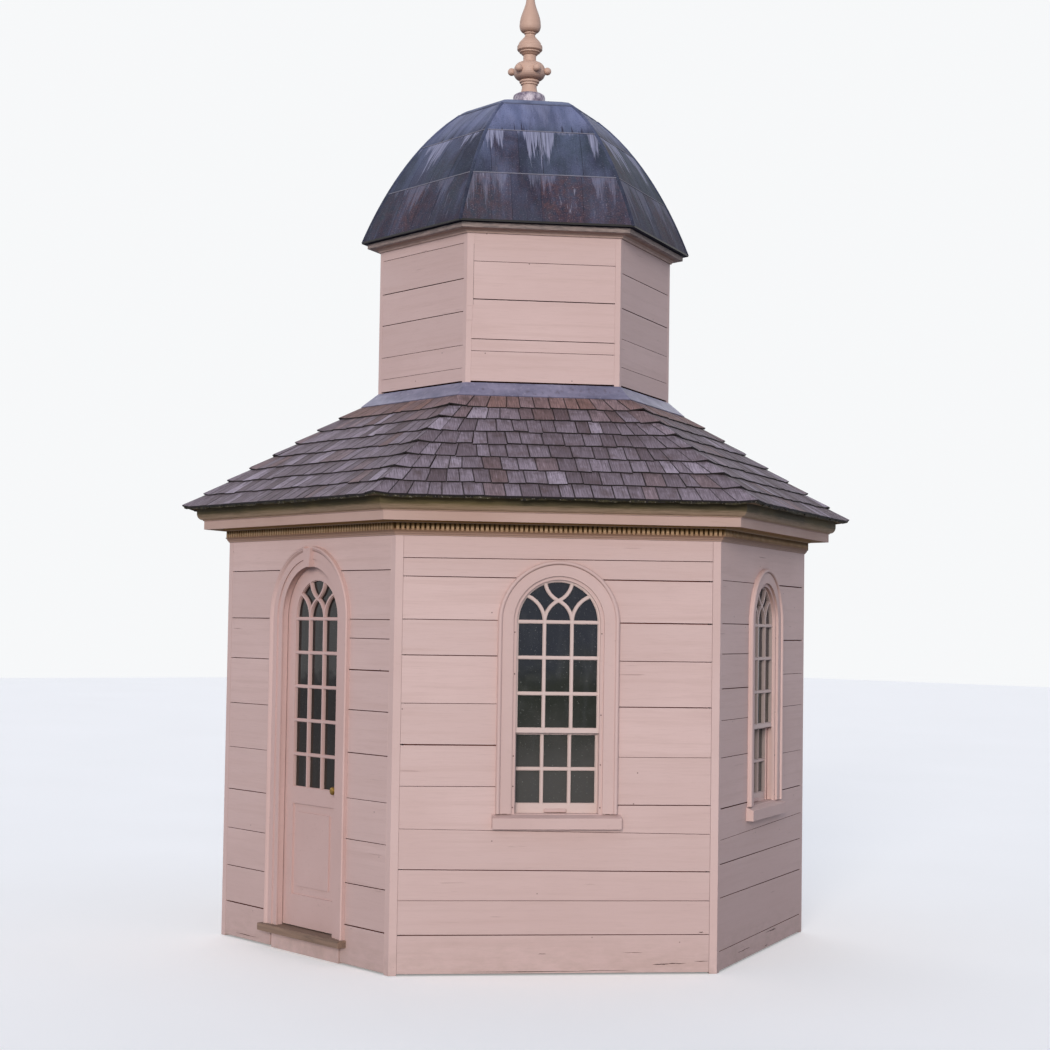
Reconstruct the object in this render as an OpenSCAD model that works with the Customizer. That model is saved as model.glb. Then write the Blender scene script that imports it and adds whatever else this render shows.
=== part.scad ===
// Six-sided timber garden house with a drum, a metal-clad dome and a turned finial.
// Millimetres, +Z up, origin on the ground at the centre of the plan.
// The doorway faces -Y and the corners of the plan lie on +X and -X.

/* [Walls] */
// Length of one wall, from corner edge to corner edge
side = 2000; // [1700:50:2600]
// Thickness of the walls
wall_t = 125; // [120:5:160]
// Width of a corner post on each face
corner_w = 48; // [36:2:62]
// Height of the floor above the ground
floor_z = 150; // [110:5:220]
// Thickness of the floor boards
floor_t = 32; // [22:2:50]

/* [Windows] */
// Width of a pane of glass
pane_w = 147; // [120:1:165]
// Height of a pane of glass
pane_h = 195; // [150:1:210]
// Width of a glazing bar
bar_w = 22; // [18:1:30]
// How far a glazing bar steps in at its front on each side
nose = 4; // [3:1:6]
// Height of the springing line of the arches
spring_z = 2121; // [2060:1:2300]
// Rows of panes between the springing line and the meeting rail
upper_rows = 3; // [2:1:3]
// Rows of panes below the meeting rail
lower_rows = 2; // [1:1:2]
// Width of a sash stile
stile_w = 45; // [36:1:55]
// Height of the meeting rail
meet_h = 31; // [26:1:45]
// How far the top rail of the lower sash hangs below the meeting rail
meet_lap = 14; // [10:1:24]
// Height of the bottom rail
rail_h = 60; // [50:1:80]
// Thickness of a sash
sash_t = 35; // [30:1:38]
// Thickness of the glass
glass_t = 3; // [3:1:6]
// Width of a sash stile that shows beside the stop
stile_show = 14; // [10:1:22]
// Width of the stop that shows inside the casing
stop_show = 22; // [16:1:32]
// Width of the flat casing round a window
casing_w = 67; // [50:1:80]
// Width of the bead round the casing
bead_w = 28; // [20:1:32]
// Height of the window sill
sill_h = 90; // [60:2:110]
// How far the sill stands out from the wall
sill_out = 48; // [40:1:70]
// Fall of the top of the sill from the wall to its front edge
sill_fall = 24; // [14:1:30]

/* [Door] */
// Half of the clear width of the doorway
door_hw = 338; // [330:1:380]
// How far the doorway sits to the right of the middle of its wall
door_shift = 50; // [0:5:80]
// Depth of the door leaf behind the face of the wall
leaf_set = 46; // [40:1:56]
// Thickness of the door leaf
leaf_t = 40; // [35:1:45]
// How far the leaf laps behind the stop of its frame
lap = 24; // [20:1:30]
// Running gap between the leaf and its frame
leaf_gap = 6.5; // [6:0.5:9]
// Width of the moulded architrave round the doorway
architrave_w = 130; // [110:1:145]
// How far the inner fascia of the architrave stands out from the wall
fascia_out = 8; // [6:1:12]
// How far the backband of the architrave stands out from the wall
band_out = 30; // [26:1:36]
// Width of the keystone at its top
key_w = 92; // [70:1:100]
// Height of the lock rail
lock_rail_h = 110; // [90:1:140]
// Height of the bottom rail of the door
door_rail_h = 200; // [140:1:220]
// Height of the knob above the floor
knob_z = 900; // [850:5:1000]
// Distance of the knob from the edge of the leaf
backset = 57; // [50:1:62]
// Height of the lowest hinge above the floor
hinge_low = 250; // [180:10:320]
// Height of the middle hinge above the floor
hinge_mid = 1050; // [900:10:1200]
// Distance of the top hinge below the springing line
hinge_drop = 130; // [100:10:200]

/* [Cornice] */
// Height of the frieze between the crown of the doorway and the cornice
frieze_h = 46; // [36:2:120]
// Height of the bed mould
bed_h = 32; // [24:1:40]
// Height of a dentil
dentil_h = 44; // [34:1:54]
// Spacing of the dentils
dentil_pitch = 30; // [26:0.5:40]
// Height of the corona
corona_h = 53; // [44:1:64]
// How far the corona stands out from the wall
corona_out = 151; // [120:1:170]
// Height of the crown mould that shows below the shingles
crown_h = 56; // [46:1:66]

/* [Roof] */
// How far the shingle edge stands out from the wall
eave_out = 291; // [260:1:330]
// Pitch of the roof in degrees
pitch = 34.5; // [30:0.5:38]
// Length of each shingle course that shows
course = 158; // [140:2:180]
// Thickness of a shingle butt
butt_t = 20; // [14:1:26]
// Thickness of the roof boards
deck_t = 25; // [20:1:32]

/* [Drum] */
// Length of one side of the drum
drum_side = 1014; // [900:2:1150]
// Thickness of the drum walls
drum_t = 70; // [66:2:90]
// Height of the drum from the roof to its cornice
drum_h = 993; // [850:5:1150]
// Width of a corner post of the drum on each face
drum_corner_w = 35; // [28:1:37]
// Height of the cornice of the drum
drum_cornice_h = 62; // [56:1:74]
// Height of the curb that carries the drum
curb_h = 130; // [110:5:150]

/* [Dome] */
// How far the dome edge stands out from the drum
dome_out = 108; // [95:1:130]
// Height of the dome from its edge to the top seam
dome_h = 930; // [850:2:1050]
// Thickness of the dome shell
dome_t = 60; // [50:1:70]
// How far the top cap of the dome laps outside the dome
cap_lap = 4; // [3:1:8]
// Rise of the top cap of the dome
cap_rise = 64; // [50:1:76]

/* [Finial] */
// Radius of the metal collar at the foot of the finial
collar_r = 112; // [104:1:130]
// Height of the metal collar
collar_h = 101; // [90:1:150]
// Radius of the foot of the finial
foot_r = 73; // [64:1:84]
// Height of the bell-shaped foot
foot_h = 64; // [50:1:80]
// Radius of the widest bulb
bulb_r = 112; // [100:1:120]
// Height of the bulb
bulb_h = 140; // [126:1:160]
// Radius of the balls set round the bulb
stud_r = 27; // [22:1:32]
// Radius of the necks between the bulb, the disc and the vase
neck_r = 45; // [38:1:50]
// Height of the neck between the bulb and the disc
neck_h = 33; // [20:1:45]
// Radius of the disc above the bulb
disc_r = 88; // [78:1:98]
// Height of the domed top of the disc
disc_h = 78; // [60:1:95]
// Radius of the vase
vase_r = 75; // [66:1:84]
// Height of the tapering neck of the vase
taper_h = 200; // [160:2:240]
// Radius of the ball at the top
ball_r = 44; // [38:1:56]

/* [Hidden] */
$fn = 96;
sides = 6;
fit = 0.4;
seam = 0.2;
over = 5;

// Plan
apo = side * cos(30);
in_apo = apo - wall_t;

// Windows, measured from the middle of a wall
sight_hw = (3 * pane_w + 2 * bar_w) / 2;
bar_x = (pane_w + bar_w) / 2;
row_h = pane_h + bar_w;
sash_hw = sight_hw + stile_w;
jamb_hw = sash_hw + fit;
jamb_t = 12;
open_hw = jamb_hw + jamb_t + fit;
stop_hw = sight_hw + stile_show;
casing_in = stop_hw + stop_show;
casing_hw = casing_in + casing_w;
bead_hw = casing_hw + bead_w;
meet_top = spring_z + bar_w / 2 - upper_rows * row_h;
meet_bot = meet_top - meet_h;
low_top = meet_bot - meet_lap;
low_sight = low_top - lower_rows * row_h + bar_w;
sill_z = low_sight - rail_h;
stop_t = 20;
parting_t = 7;
inner_stop_t = 13;
lower_d = stop_t + sash_t + parting_t;
bar_d = 20;
nose_d = 7;
rebate = 8;
casing_out = 16;
horn = 20;

// Doorway
leaf_hw = door_hw + lap - leaf_gap;
leaf_d = leaf_set;
frame_d = leaf_d + leaf_t;
rebate_hw = door_hw + lap;
door_open_hw = rebate_hw + 38;
arch_in = door_hw - 5;
arch_out_hw = arch_in + architrave_w;
leaf_bottom = floor_z + 8;
pin_d = frame_d + 6;
pin_x = -(leaf_hw + rebate_hw) / 2;
tread_out = 60;
tread_h = 45;
door_rows = 5;
door_sight = spring_z + bar_w / 2 - door_rows * row_h;

// Cornice and roof
cornice_z = spring_z + arch_out_hw + frieze_h;
dentil_z = cornice_z + bed_h;
soffit_z = dentil_z + dentil_h + 13;
corona_z = soffit_z + corona_h;
crown_z = corona_z + crown_h;
eave_a = apo + eave_out;
eave_z = crown_z + butt_t + 16;
sp = sin(pitch);
cp = cos(pitch);
tail_t = 9;
deck_back = 45;
rafter_v = 110;
rafter_w = 44;
notch_h = 15;
drum_a = drum_side * cos(30);

// A point s up the slope from the eave and n above the roof boards
function slope(s, n) = [eave_a - s * cp + (n - butt_t) * sp, eave_z + s * sp + (n - butt_t) * cp];
// The distance up the slope at which a line n above the boards passes apothem a
function s_at(a, n) = (eave_a - a + (n - butt_t) * sp) / cp;
// Height of a line n above the roof boards at apothem a
function z_at(a, n) = slope(s_at(a, n), n)[1];
// Profile points with apothems turned into corner radii
function mitred(pts) = [for (p = pts) [p[0] / cos(30), p[1]]];

plate_z = z_at(apo, -deck_t) - rafter_v + notch_h;
drum_z = z_at(drum_a, butt_t);
curb_z = drum_z - 90;
drum_bed_z = drum_z + drum_h;
dome_z = drum_bed_z + drum_cornice_h;
drum_top = dome_z - 15;
dome_a = drum_a + dome_out;
dome_top_z = dome_z + dome_h;

// A wall k counted from the doorway, its outer face on y = 0 and x along it
module face(k) {
    rotate([0, 0, 60 * k]) translate([0, -apo, 0]) children();
}

// The doorway's own place on the wall that holds it
module doorway() {
    face(0) translate([door_shift, 0, 0]) children();
}

// An outline in x and z made solid from depth d0 to depth d1 behind the face
module slab(d0, d1) {
    translate([0, d1, 0]) rotate([90, 0, 0]) linear_extrude(height = d1 - d0) children();
}

module arch(hw, z0) {
    translate([0, spring_z]) circle(r = hw);
    translate([-hw, z0]) square([2 * hw, spring_z - z0]);
}

// A profile of width and projection carried up both legs and round the arch
module arch_sweep(z0) {
    translate([0, 0, spring_z]) rotate([90, 0, 0]) rotate_extrude(angle = 180) children();
    for (m = [0, 1]) mirror([m, 0, 0]) translate([0, 0, z0])
        linear_extrude(height = spring_z - z0) mirror([0, 1]) children();
}

// A profile of apothem and height run along each of the six sides and mitred at the corners
module hex_runs() {
    reach = 2 * side;
    half = reach * tan(30);
    for (k = [0:sides - 1]) rotate([0, 0, 60 * k]) intersection() {
        translate([reach, 0, 0]) rotate([90, 0, -90]) linear_extrude(height = 2 * reach) children();
        linear_extrude(height = dome_top_z)
            polygon([[0, -seam], [half, -reach - seam], [-half, -reach - seam]]);
    }
}

module hexagon(a) {
    circle(r = a / cos(30), $fn = sides);
}

// Plan of a wall between two corner posts
module wall_plan(len, t, cw) {
    h = len / 2 - seam;
    md = cw * tan(60);
    back = h - t * tan(30);
    polygon([[-h + cw, 0], [h - cw, 0], [h - cw, md], [back, t], [-back, t], [-h + cw, md]]);
}

module post_plan(len, cw) {
    polygon([[len, 0], [len - cw / 2, cw * cos(30)], [len - 2 * cw, 0], [len - cw / 2, -cw * cos(30)]]);
}

module window_wall(k) {
    color("mistyrose") face(k) difference() {
        linear_extrude(height = plate_z) wall_plan(side, wall_t, corner_w);
        slab(-over, wall_t + over) arch(open_hw, sill_z - sill_h);
    }
}

module floor_deck() {
    color("tan") translate([0, 0, floor_z - floor_t]) linear_extrude(height = floor_t) hexagon(in_apo - seam);
}

module floor_joists() {
    pitch_y = 480;
    color("peru") intersection() {
        linear_extrude(height = floor_z - floor_t) hexagon(in_apo - seam);
        for (i = [-3:3]) translate([-side, i * pitch_y - 35, 0]) cube([2 * side, 70, floor_z - floor_t]);
    }
}

module corner_posts() {
    color("mistyrose") for (k = [0:sides - 1]) rotate([0, 0, 60 * k])
        linear_extrude(height = plate_z) post_plan(side, corner_w);
}

module door_pier(s) {
    color("mistyrose") intersection() {
        face(0) linear_extrude(height = spring_z) wall_plan(side, wall_t, corner_w);
        doorway() translate([s > 0 ? door_open_hw : -side, -over, 0])
            cube([side - door_open_hw, wall_t + 2 * over, spring_z]);
    }
}

module door_head() {
    color("mistyrose") difference() {
        face(0) translate([0, 0, spring_z]) linear_extrude(height = plate_z - spring_z)
            wall_plan(side, wall_t, corner_w);
        doorway() slab(-over, wall_t + over) translate([0, spring_z]) circle(r = door_open_hw);
    }
}

module door_base_wall() {
    color("mistyrose") doorway() translate([-door_open_hw, 0, 0])
        cube([2 * door_open_hw, wall_t, floor_z - tread_h]);
}

module threshold() {
    color("rosybrown") doorway() translate([0, 0, floor_z - tread_h]) linear_extrude(height = tread_h) {
        translate([-door_open_hw, 0]) square([2 * door_open_hw, wall_t]);
        translate([-arch_out_hw - horn, -tread_out]) square([2 * (arch_out_hw + horn), tread_out]);
    }
}

module window_frames() {
    color("mistyrose") for (k = [1:sides - 1]) face(k) {
        slab(0, wall_t) difference() {
            arch(open_hw - fit, sill_z);
            arch(jamb_hw, sill_z - over);
        }
        for (stop = [[0, stop_t], [lower_d - parting_t, parting_t], [lower_d + sash_t, inner_stop_t]])
            slab(stop[0], stop[0] + stop[1]) difference() {
                arch(open_hw - fit, sill_z);
                arch(stop_hw, sill_z - over);
            }
        slab(lower_d - parting_t, lower_d) translate([-jamb_hw, meet_bot]) square([2 * jamb_hw, meet_h]);
    }
}

module casing_profile() {
    translate([casing_in, 0]) square([casing_w + bead_w, casing_out]);
    translate([casing_hw + bead_w / 2, casing_out]) circle(r = bead_w / 2 - 1);
}

module window_casings() {
    color("mistyrose") for (k = [1:sides - 1]) face(k) arch_sweep(sill_z) casing_profile();
}

module window_sills() {
    bot = sill_z - sill_h;
    color("mistyrose") for (k = [1:sides - 1]) face(k) {
        translate([-open_hw + fit, 0, bot]) cube([2 * (open_hw - fit), wall_t, sill_h]);
        translate([-bead_hw - horn, 0, 0]) rotate([90, 0, 90]) linear_extrude(height = 2 * (bead_hw + horn))
            polygon([[-sill_out, bot], [0, bot], [0, sill_z - 4], [-sill_out, sill_z - sill_fall]]);
    }
}

// The pane rows below a level, each pane widened by g on every side
module panes(rows, top, g = 0) {
    for (r = [0:rows - 1], c = [-1:1])
        translate([c * (pane_w + bar_w) - pane_w / 2 - g, top - r * row_h - pane_h - g])
            square([pane_w + 2 * g, pane_h + 2 * g]);
}

module arc_band(r, w) {
    difference() {
        circle(r = r + w / 2);
        circle(r = r - w / 2);
    }
}

// Interlaced bars w wide in the arched head, drawn from the springing line up: two S-shaped bars
// cross in the middle, and an arc leans from each upright bar to the ring
module tracery(w) {
    lancet_r = 1.68 * bar_x;
    cross_z = sqrt(lancet_r * lancet_r - (lancet_r - bar_x) * (lancet_r - bar_x));
    lean_r = 2 * bar_x;
    for (s = [-1, 1]) {
        translate([s * (bar_x + lean_r), 0]) arc_band(lean_r, w);
        for (up = [0, 1]) translate([0, 2 * up * cross_z]) rotate(180 * up) intersection() {
            translate([s * (lancet_r - bar_x), 0]) arc_band(lancet_r, w);
            translate([s > 0 ? -2 * bar_x : 0, -bar_w]) square([2 * bar_x, cross_z + bar_w]);
        }
    }
}

// Open parts of the arched head between the tracery bars, widened by g
module head_lights(g = 0) {
    translate([0, spring_z]) difference() {
        intersection() {
            circle(r = sight_hw + g);
            translate([-sight_hw - g, bar_w / 2 - g]) square(2 * (sight_hw + g));
        }
        tracery(bar_w - 2 * g);
    }
}

module upper_sash(k) {
    color("mistyrose") face(k) {
        for (step = [[stop_t, nose_d, nose], [stop_t + nose_d, bar_d - nose_d, 0]])
            slab(step[0], step[0] + step[1]) difference() {
                arch(sash_hw, meet_bot);
                panes(upper_rows, spring_z - bar_w / 2, step[2]);
                head_lights(step[2]);
            }
        slab(stop_t + bar_d, stop_t + sash_t) difference() {
            arch(sash_hw, meet_bot);
            arch(sight_hw + rebate, meet_top - rebate);
        }
    }
}

module lower_sash(k) {
    color("mistyrose") face(k) {
        for (step = [[lower_d, nose_d, nose], [lower_d + nose_d, bar_d - nose_d, 0]])
            slab(step[0], step[0] + step[1]) difference() {
                translate([-sash_hw, sill_z]) square([2 * sash_hw, meet_top - sill_z]);
                panes(lower_rows, low_top, step[2]);
            }
        slab(lower_d + bar_d, lower_d + sash_t) difference() {
            translate([-sash_hw, sill_z]) square([2 * sash_hw, meet_top - sill_z]);
            translate([-sight_hw - rebate, low_sight - rebate])
                square([2 * (sight_hw + rebate), low_top - low_sight + 2 * rebate]);
        }
    }
}

module window_glass() {
    g = rebate - fit;
    color("slategray") for (k = [1:sides - 1]) face(k) {
        slab(stop_t + bar_d, stop_t + bar_d + glass_t) arch(sight_hw + g, meet_top - g);
        slab(lower_d + bar_d, lower_d + bar_d + glass_t) translate([-sight_hw - g, low_sight - g])
            square([2 * (sight_hw + g), low_top - low_sight + 2 * g]);
    }
}

module door_frame() {
    color("mistyrose") doorway() {
        slab(0, leaf_d - leaf_gap + fit) difference() {
            arch(door_open_hw - fit, floor_z);
            arch(door_hw, floor_z - over);
        }
        slab(0, frame_d) difference() {
            arch(door_open_hw - fit, floor_z);
            arch(rebate_hw, floor_z - over);
        }
    }
}

// Two stepped fasciae with a rounded backband
module architrave_profile() {
    step = architrave_w * 0.38;
    band = 20;
    mid_out = (fascia_out + band_out) / 2 - 3;
    translate([arch_in, 0]) square([architrave_w, fascia_out]);
    translate([arch_in + step, 0]) square([architrave_w - step, mid_out]);
    translate([arch_out_hw - band - 14, 0])
        polygon([[0, 0], [14 + band / 2, 0], [14 + band / 2, band_out - 4], [12, band_out - 4],
            [0, mid_out]]);
    translate([arch_out_hw - band / 2, band_out - band / 2]) circle(r = band / 2);
}

module door_architrave() {
    color("mistyrose") doorway() difference() {
        arch_sweep(floor_z) architrave_profile();
        slab(-60, 1) keystone_outline(fit, 40);
    }
}

// The wedge of the keystone, widened by g and carried on upwards by rise
module keystone_outline(g, rise = 0) {
    z0 = spring_z + arch_in - 4;
    z1 = spring_z + arch_out_hw - 16;
    b = key_w * 0.32 + g;
    t = key_w / 2 + g;
    polygon([[-b, z0], [b, z0], [t, z1], [t, z1 + rise], [-t, z1 + rise], [-t, z1]]);
}

module keystone() {
    color("mistyrose") doorway() slab(-band_out - 10, 0) keystone_outline(0);
}

module door_leaf() {
    rail_bot = door_sight - lock_rail_h;
    panel_bot = leaf_bottom + door_rail_h;
    color("mistyrose") doorway() {
        for (step = [[leaf_d, nose_d, nose], [leaf_d + nose_d, bar_d - nose_d, 0]])
            slab(step[0], step[0] + step[1]) difference() {
                arch(leaf_hw, leaf_bottom);
                panes(door_rows, spring_z - bar_w / 2, step[2]);
                head_lights(step[2]);
                translate([-sight_hw, panel_bot]) square([2 * sight_hw, rail_bot - panel_bot]);
            }
        slab(leaf_d + bar_d, frame_d) difference() {
            arch(leaf_hw, leaf_bottom);
            arch(sight_hw + rebate, door_sight - rebate);
            translate([-sight_hw, panel_bot]) square([2 * sight_hw, rail_bot - panel_bot]);
        }
        slab(leaf_d + 12, frame_d - 12) translate([-sight_hw, panel_bot])
            square([2 * sight_hw, rail_bot - panel_bot]);
        slab(leaf_d + 4, leaf_d + 14) translate([-sight_hw + 55, panel_bot + 55])
            square([2 * sight_hw - 110, rail_bot - panel_bot - 110]);
    }
}

module door_glass() {
    g = rebate - fit;
    color("slategray") doorway() slab(leaf_d + bar_d, leaf_d + bar_d + glass_t)
        arch(sight_hw + g, door_sight - g);
}

module knob_side(d, out) {
    translate([leaf_hw - backset, d, floor_z + knob_z]) rotate([90 * out, 0, 0]) rotate_extrude()
        polygon([[0, 0], [24, 0], [24, 4], [10, 8], [9, 26], [22, 34], [26, 44], [22, 54], [12, 58],
            [0, 58]]);
}

module door_knob() {
    color("darkgoldenrod") doorway() {
        knob_side(leaf_d, 1);
        knob_side(frame_d, -1);
    }
}

hinge_zs = [floor_z + hinge_low, floor_z + hinge_mid, spring_z - hinge_drop];
knuckle_h = 24;
knuckle_r = 6;
plate_t = 3;
plate_h = 80;

module hinge_plates_frame() {
    reach = door_open_hw + pin_x - 2;
    color("dimgray") doorway() for (z = hinge_zs) translate([pin_x, 0, z]) {
        translate([-reach, frame_d, -plate_h / 2]) cube([reach - knuckle_r, plate_t, plate_h]);
        for (s = [-1, 1]) {
            translate([0, pin_d, s * (knuckle_h + 2) - knuckle_h / 2]) cylinder(r = knuckle_r, h = knuckle_h);
            translate([-knuckle_r - 2, frame_d, s * (knuckle_h + 2) - knuckle_h / 2])
                cube([8, plate_t, knuckle_h]);
        }
        translate([0, pin_d, -knuckle_h * 1.5 - 4]) cylinder(r = 3, h = knuckle_h * 3 + 8);
    }
}

module hinge_plates_leaf() {
    reach = leaf_hw - sight_hw - rebate - 6;
    color("dimgray") doorway() for (z = hinge_zs) translate([pin_x, 0, z]) difference() {
        union() {
            translate([knuckle_r, frame_d, -plate_h / 2]) cube([reach - knuckle_r, plate_t, plate_h]);
            translate([0, pin_d, -knuckle_h / 2]) cylinder(r = knuckle_r, h = knuckle_h);
            translate([0, frame_d, -knuckle_h / 2]) cube([8, plate_t, knuckle_h]);
        }
        translate([0, pin_d, -knuckle_h]) cylinder(r = 3.3, h = 2 * knuckle_h);
    }
}

module bed_mould() {
    color("mistyrose") hex_runs() polygon([[apo + seam, cornice_z], [apo + 6, cornice_z],
        [apo + 8, cornice_z + 8], [apo + 14, cornice_z + 12], [apo + 16, cornice_z + 20],
        [apo + 24, cornice_z + 28], [apo + 26, dentil_z], [apo + seam, dentil_z]]);
}

module dentil_band() {
    count = floor(side / dentil_pitch) - 1;
    depth = 20;
    w = dentil_pitch * 0.58;
    color("mistyrose") translate([0, 0, dentil_z]) linear_extrude(height = dentil_h) {
        difference() {
            hexagon(apo + 8);
            hexagon(apo + seam);
        }
        for (k = [0:sides - 1], i = [0:count - 1])
            rotate([0, 0, 60 * k]) translate([(i - (count - 1) / 2) * dentil_pitch - w / 2, -apo - 8 - depth])
                square([w, depth + 1]);
    }
}

// Soffit, corona and crown mould, closed against the underside of the roof boards
module corona() {
    out = apo + corona_out;
    crown = out + 44;
    foot = dentil_z + dentil_h + seam;
    lid = -deck_t - seam;
    cove = [for (t = [0:15:90]) [crown - 34 * (1 - sin(t)), corona_z + 6 + (crown_h - 12) * (1 - cos(t))]];
    color("mistyrose") hex_runs() polygon(concat(
        [[apo + seam, foot], [apo + 34, foot], [apo + 40, soffit_z],
         [out - 12, soffit_z], [out - 10, soffit_z - 4], [out, soffit_z - 4],
         [out, corona_z], [out + 8, corona_z], [out + 8, corona_z + 6]],
        cove, [[crown, z_at(crown, lid)], [apo + seam, z_at(apo + seam, lid)]]));
}

// One rafter under a line of the roof whose apothem shrinks by the factor c along it
module rafter(c) {
    foot = apo - seam;
    head = drum_a + seam;
    rotate([90, 0, 0]) translate([0, 0, -rafter_w / 2]) linear_extrude(height = rafter_w)
        polygon([for (p = [[head, -seam], [foot, -seam], [foot, -rafter_v], [head, -rafter_v]])
            [p[0] / c, z_at(p[0], -deck_t) + p[1]]]);
}

// Hip and common rafters, notched over the walls and cut to the roof boards and the curb
module rafters() {
    color("peru") difference() {
        for (k = [0:sides - 1]) {
            rotate([0, 0, 60 * k]) rafter(cos(30));
            rotate([0, 0, 60 * k - 30]) rafter(1);
        }
        hex_shell(in_apo, apo + wall_t, 0, plate_z);
        hex_shell(apo - seam, apo + wall_t, 0, drum_z);
        translate([0, 0, curb_z - 400]) linear_extrude(height = drum_h) hexagon(drum_a + seam);
        rotate_extrude($fn = sides) polygon(mitred([for (p = [[drum_a / 2, -seam], [apo + wall_t, -seam],
            [apo + wall_t, drum_h], [drum_a / 2, drum_h]]) [p[0], z_at(p[0], -deck_t) + p[1]]]));
    }
}

// A six-sided ring between two apothems and two heights
module hex_shell(a0, a1, z0, z1) {
    translate([0, 0, z0]) linear_extrude(height = z1 - z0) difference() {
        hexagon(a1);
        hexagon(a0);
    }
}

module roof_deck() {
    a = drum_a + seam;
    color("burlywood") hex_runs() polygon([slope(deck_back, -deck_t), slope(deck_back, 0),
        [a, z_at(a, 0)], [a, z_at(a, -deck_t)]]);
}

module shingle_courses() {
    last = floor(s_at(drum_a, butt_t) / course) - 1;
    teeth = [for (i = [0:last], e = [0, 1]) slope((i + e) * course, e == 0 ? butt_t : tail_t)];
    a = drum_a + seam;
    color("rosybrown") hex_runs() polygon(concat(
        [slope(deck_back - seam, seam), slope(deck_back - seam, -16), slope(10, -16), slope(10, 0),
         slope(0, 0)],
        teeth, [[a, z_at(a, tail_t)], [a, z_at(a, seam)]]));
}

module drum_curb() {
    top = curb_z - seam;
    in_a = drum_a - drum_t - 10;
    color("peru") hex_runs()
        polygon([[in_a, top - curb_h], [drum_a, top - curb_h], [drum_a, top], [in_a, top]]);
}

module roof_flashing() {
    foot = course * floor(s_at(drum_a, butt_t) / course);
    a = drum_a + seam;
    lift = tail_t + seam;
    color("slategray") hex_runs()
        polygon([slope(foot, lift), slope(foot, lift + 6), [a, drum_z + 17], [a, z_at(a, lift)]]);
}

module drum_posts() {
    color("mistyrose") for (k = [0:sides - 1]) rotate([0, 0, 60 * k])
        translate([0, 0, curb_z]) linear_extrude(height = drum_top - curb_z)
            post_plan(drum_side, drum_corner_w);
}

module drum_walls() {
    color("mistyrose") for (k = [0:sides - 1]) rotate([0, 0, 60 * k])
        translate([0, -drum_a, curb_z]) linear_extrude(height = drum_top - curb_z)
            wall_plan(drum_side, drum_t, drum_corner_w);
}

module drum_cornice() {
    a = drum_a + seam;
    color("mistyrose") hex_runs() polygon([[a, drum_bed_z], [a + 10, drum_bed_z], [a + 14, drum_bed_z + 10],
        [a + 24, drum_bed_z + 22], [dome_a - 36, drum_bed_z + 25], [dome_a - 29, drum_bed_z + 25],
        [dome_a - 29, dome_z - 7], [dome_a - 50, dome_z - 7], [dome_a - 50, dome_z],
        [a - drum_t, dome_z], [a - drum_t, drum_top + seam], [a, drum_top + seam]]);
}

// Outer curve of the dome: a piece of an ellipse whose centre lies well below the edge
dome_t0 = 38.75;
dome_t1 = 71.4;
dome_rx = dome_a / cos(dome_t0);
dome_rz = dome_h / (sin(dome_t1) - sin(dome_t0));
dome_steps = 14;
cap_a = dome_rx * cos(dome_t1);
function dome_pt(i, inset) =
    let (t = dome_t0 + (dome_t1 - dome_t0) * i / dome_steps)
    let (n = [cos(t) / dome_rx, sin(t) / dome_rz])
    [dome_rx * cos(t), dome_z + dome_rz * (sin(t) - sin(dome_t0))] - inset * n / norm(n);

module dome_shell() {
    outer = [for (i = [0:dome_steps]) dome_pt(i, 0)];
    inner = [for (i = [dome_steps - 1:-1:1]) dome_pt(i, dome_t)];
    color("slategray") translate([0, 0, seam]) hex_runs()
        polygon(concat(outer, [[cap_a - dome_t, dome_top_z]], inner, [[dome_a - dome_t, dome_z]]));
}

// Apothem of the outer curve of the dome at a height
function dome_a_at(z) = dome_rx * sqrt(1 - pow(sin(dome_t0) + (z - dome_z) / dome_rz, 2));

// Sheet metal cap with a lip that hangs outside the dome
module dome_cap() {
    lip = 14;
    gap = 1.2;
    base = dome_top_z + 2 * seam;
    lip_z = dome_top_z - lip;
    lip_a = dome_a_at(lip_z) + gap;
    color("slategray") rotate_extrude($fn = sides) polygon(mitred([[0, base], [cap_a + gap, base],
        [lip_a, lip_z], [lip_a + cap_lap, lip_z], [cap_a + gap + cap_lap, base + 4], [cap_a - 24, base + 22],
        [cap_a - 90, base + 42], [collar_r + 22, collar_z - 2], [collar_r + 16, collar_z], [0, collar_z]]));
}

collar_z = dome_top_z + cap_rise;
finial_z = collar_z + collar_h - 8;

// A smooth S-shaped run of a turned profile from one radius and height to another
function ogee(r0, z0, r1, z1, n = 6) =
    [for (i = [0:n]) let (t = i / n) [r0 + (r1 - r0) * (1 - cos(180 * t)) / 2, z0 + (z1 - z0) * t]];
// A quarter round of a turned profile, upright at its first end and level at its second
function shoulder(r0, z0, r1, z1, n = 6) =
    [for (i = [0:n]) let (t = 90 * i / n) [r1 + (r0 - r1) * cos(t), z0 + (z1 - z0) * sin(t)]];
// A quarter round or cove of a turned profile, level at its first end and upright at its second
function swell(r0, z0, r1, z1, n = 6) =
    [for (i = [0:n]) let (t = 90 * i / n) [r0 + (r1 - r0) * sin(t), z0 + (z1 - z0) * (1 - cos(t))]];

module finial_collar() {
    top_r = foot_r + 6;
    brim = collar_h * 0.3;
    color("lightgray") difference() {
        translate([0, 0, collar_z + seam]) rotate_extrude() polygon(concat(
            [[0, 0], [collar_r + 10, 0], [collar_r + 3, 8], [collar_r, 20]],
            [for (t = [0:15:90]) [top_r + (collar_r - top_r) * cos(t), collar_h - brim + brim * sin(t)]],
            [[0, collar_h]]));
        translate([0, 0, finial_z]) cylinder(r = foot_r + fit, h = 20);
    }
}

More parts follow.
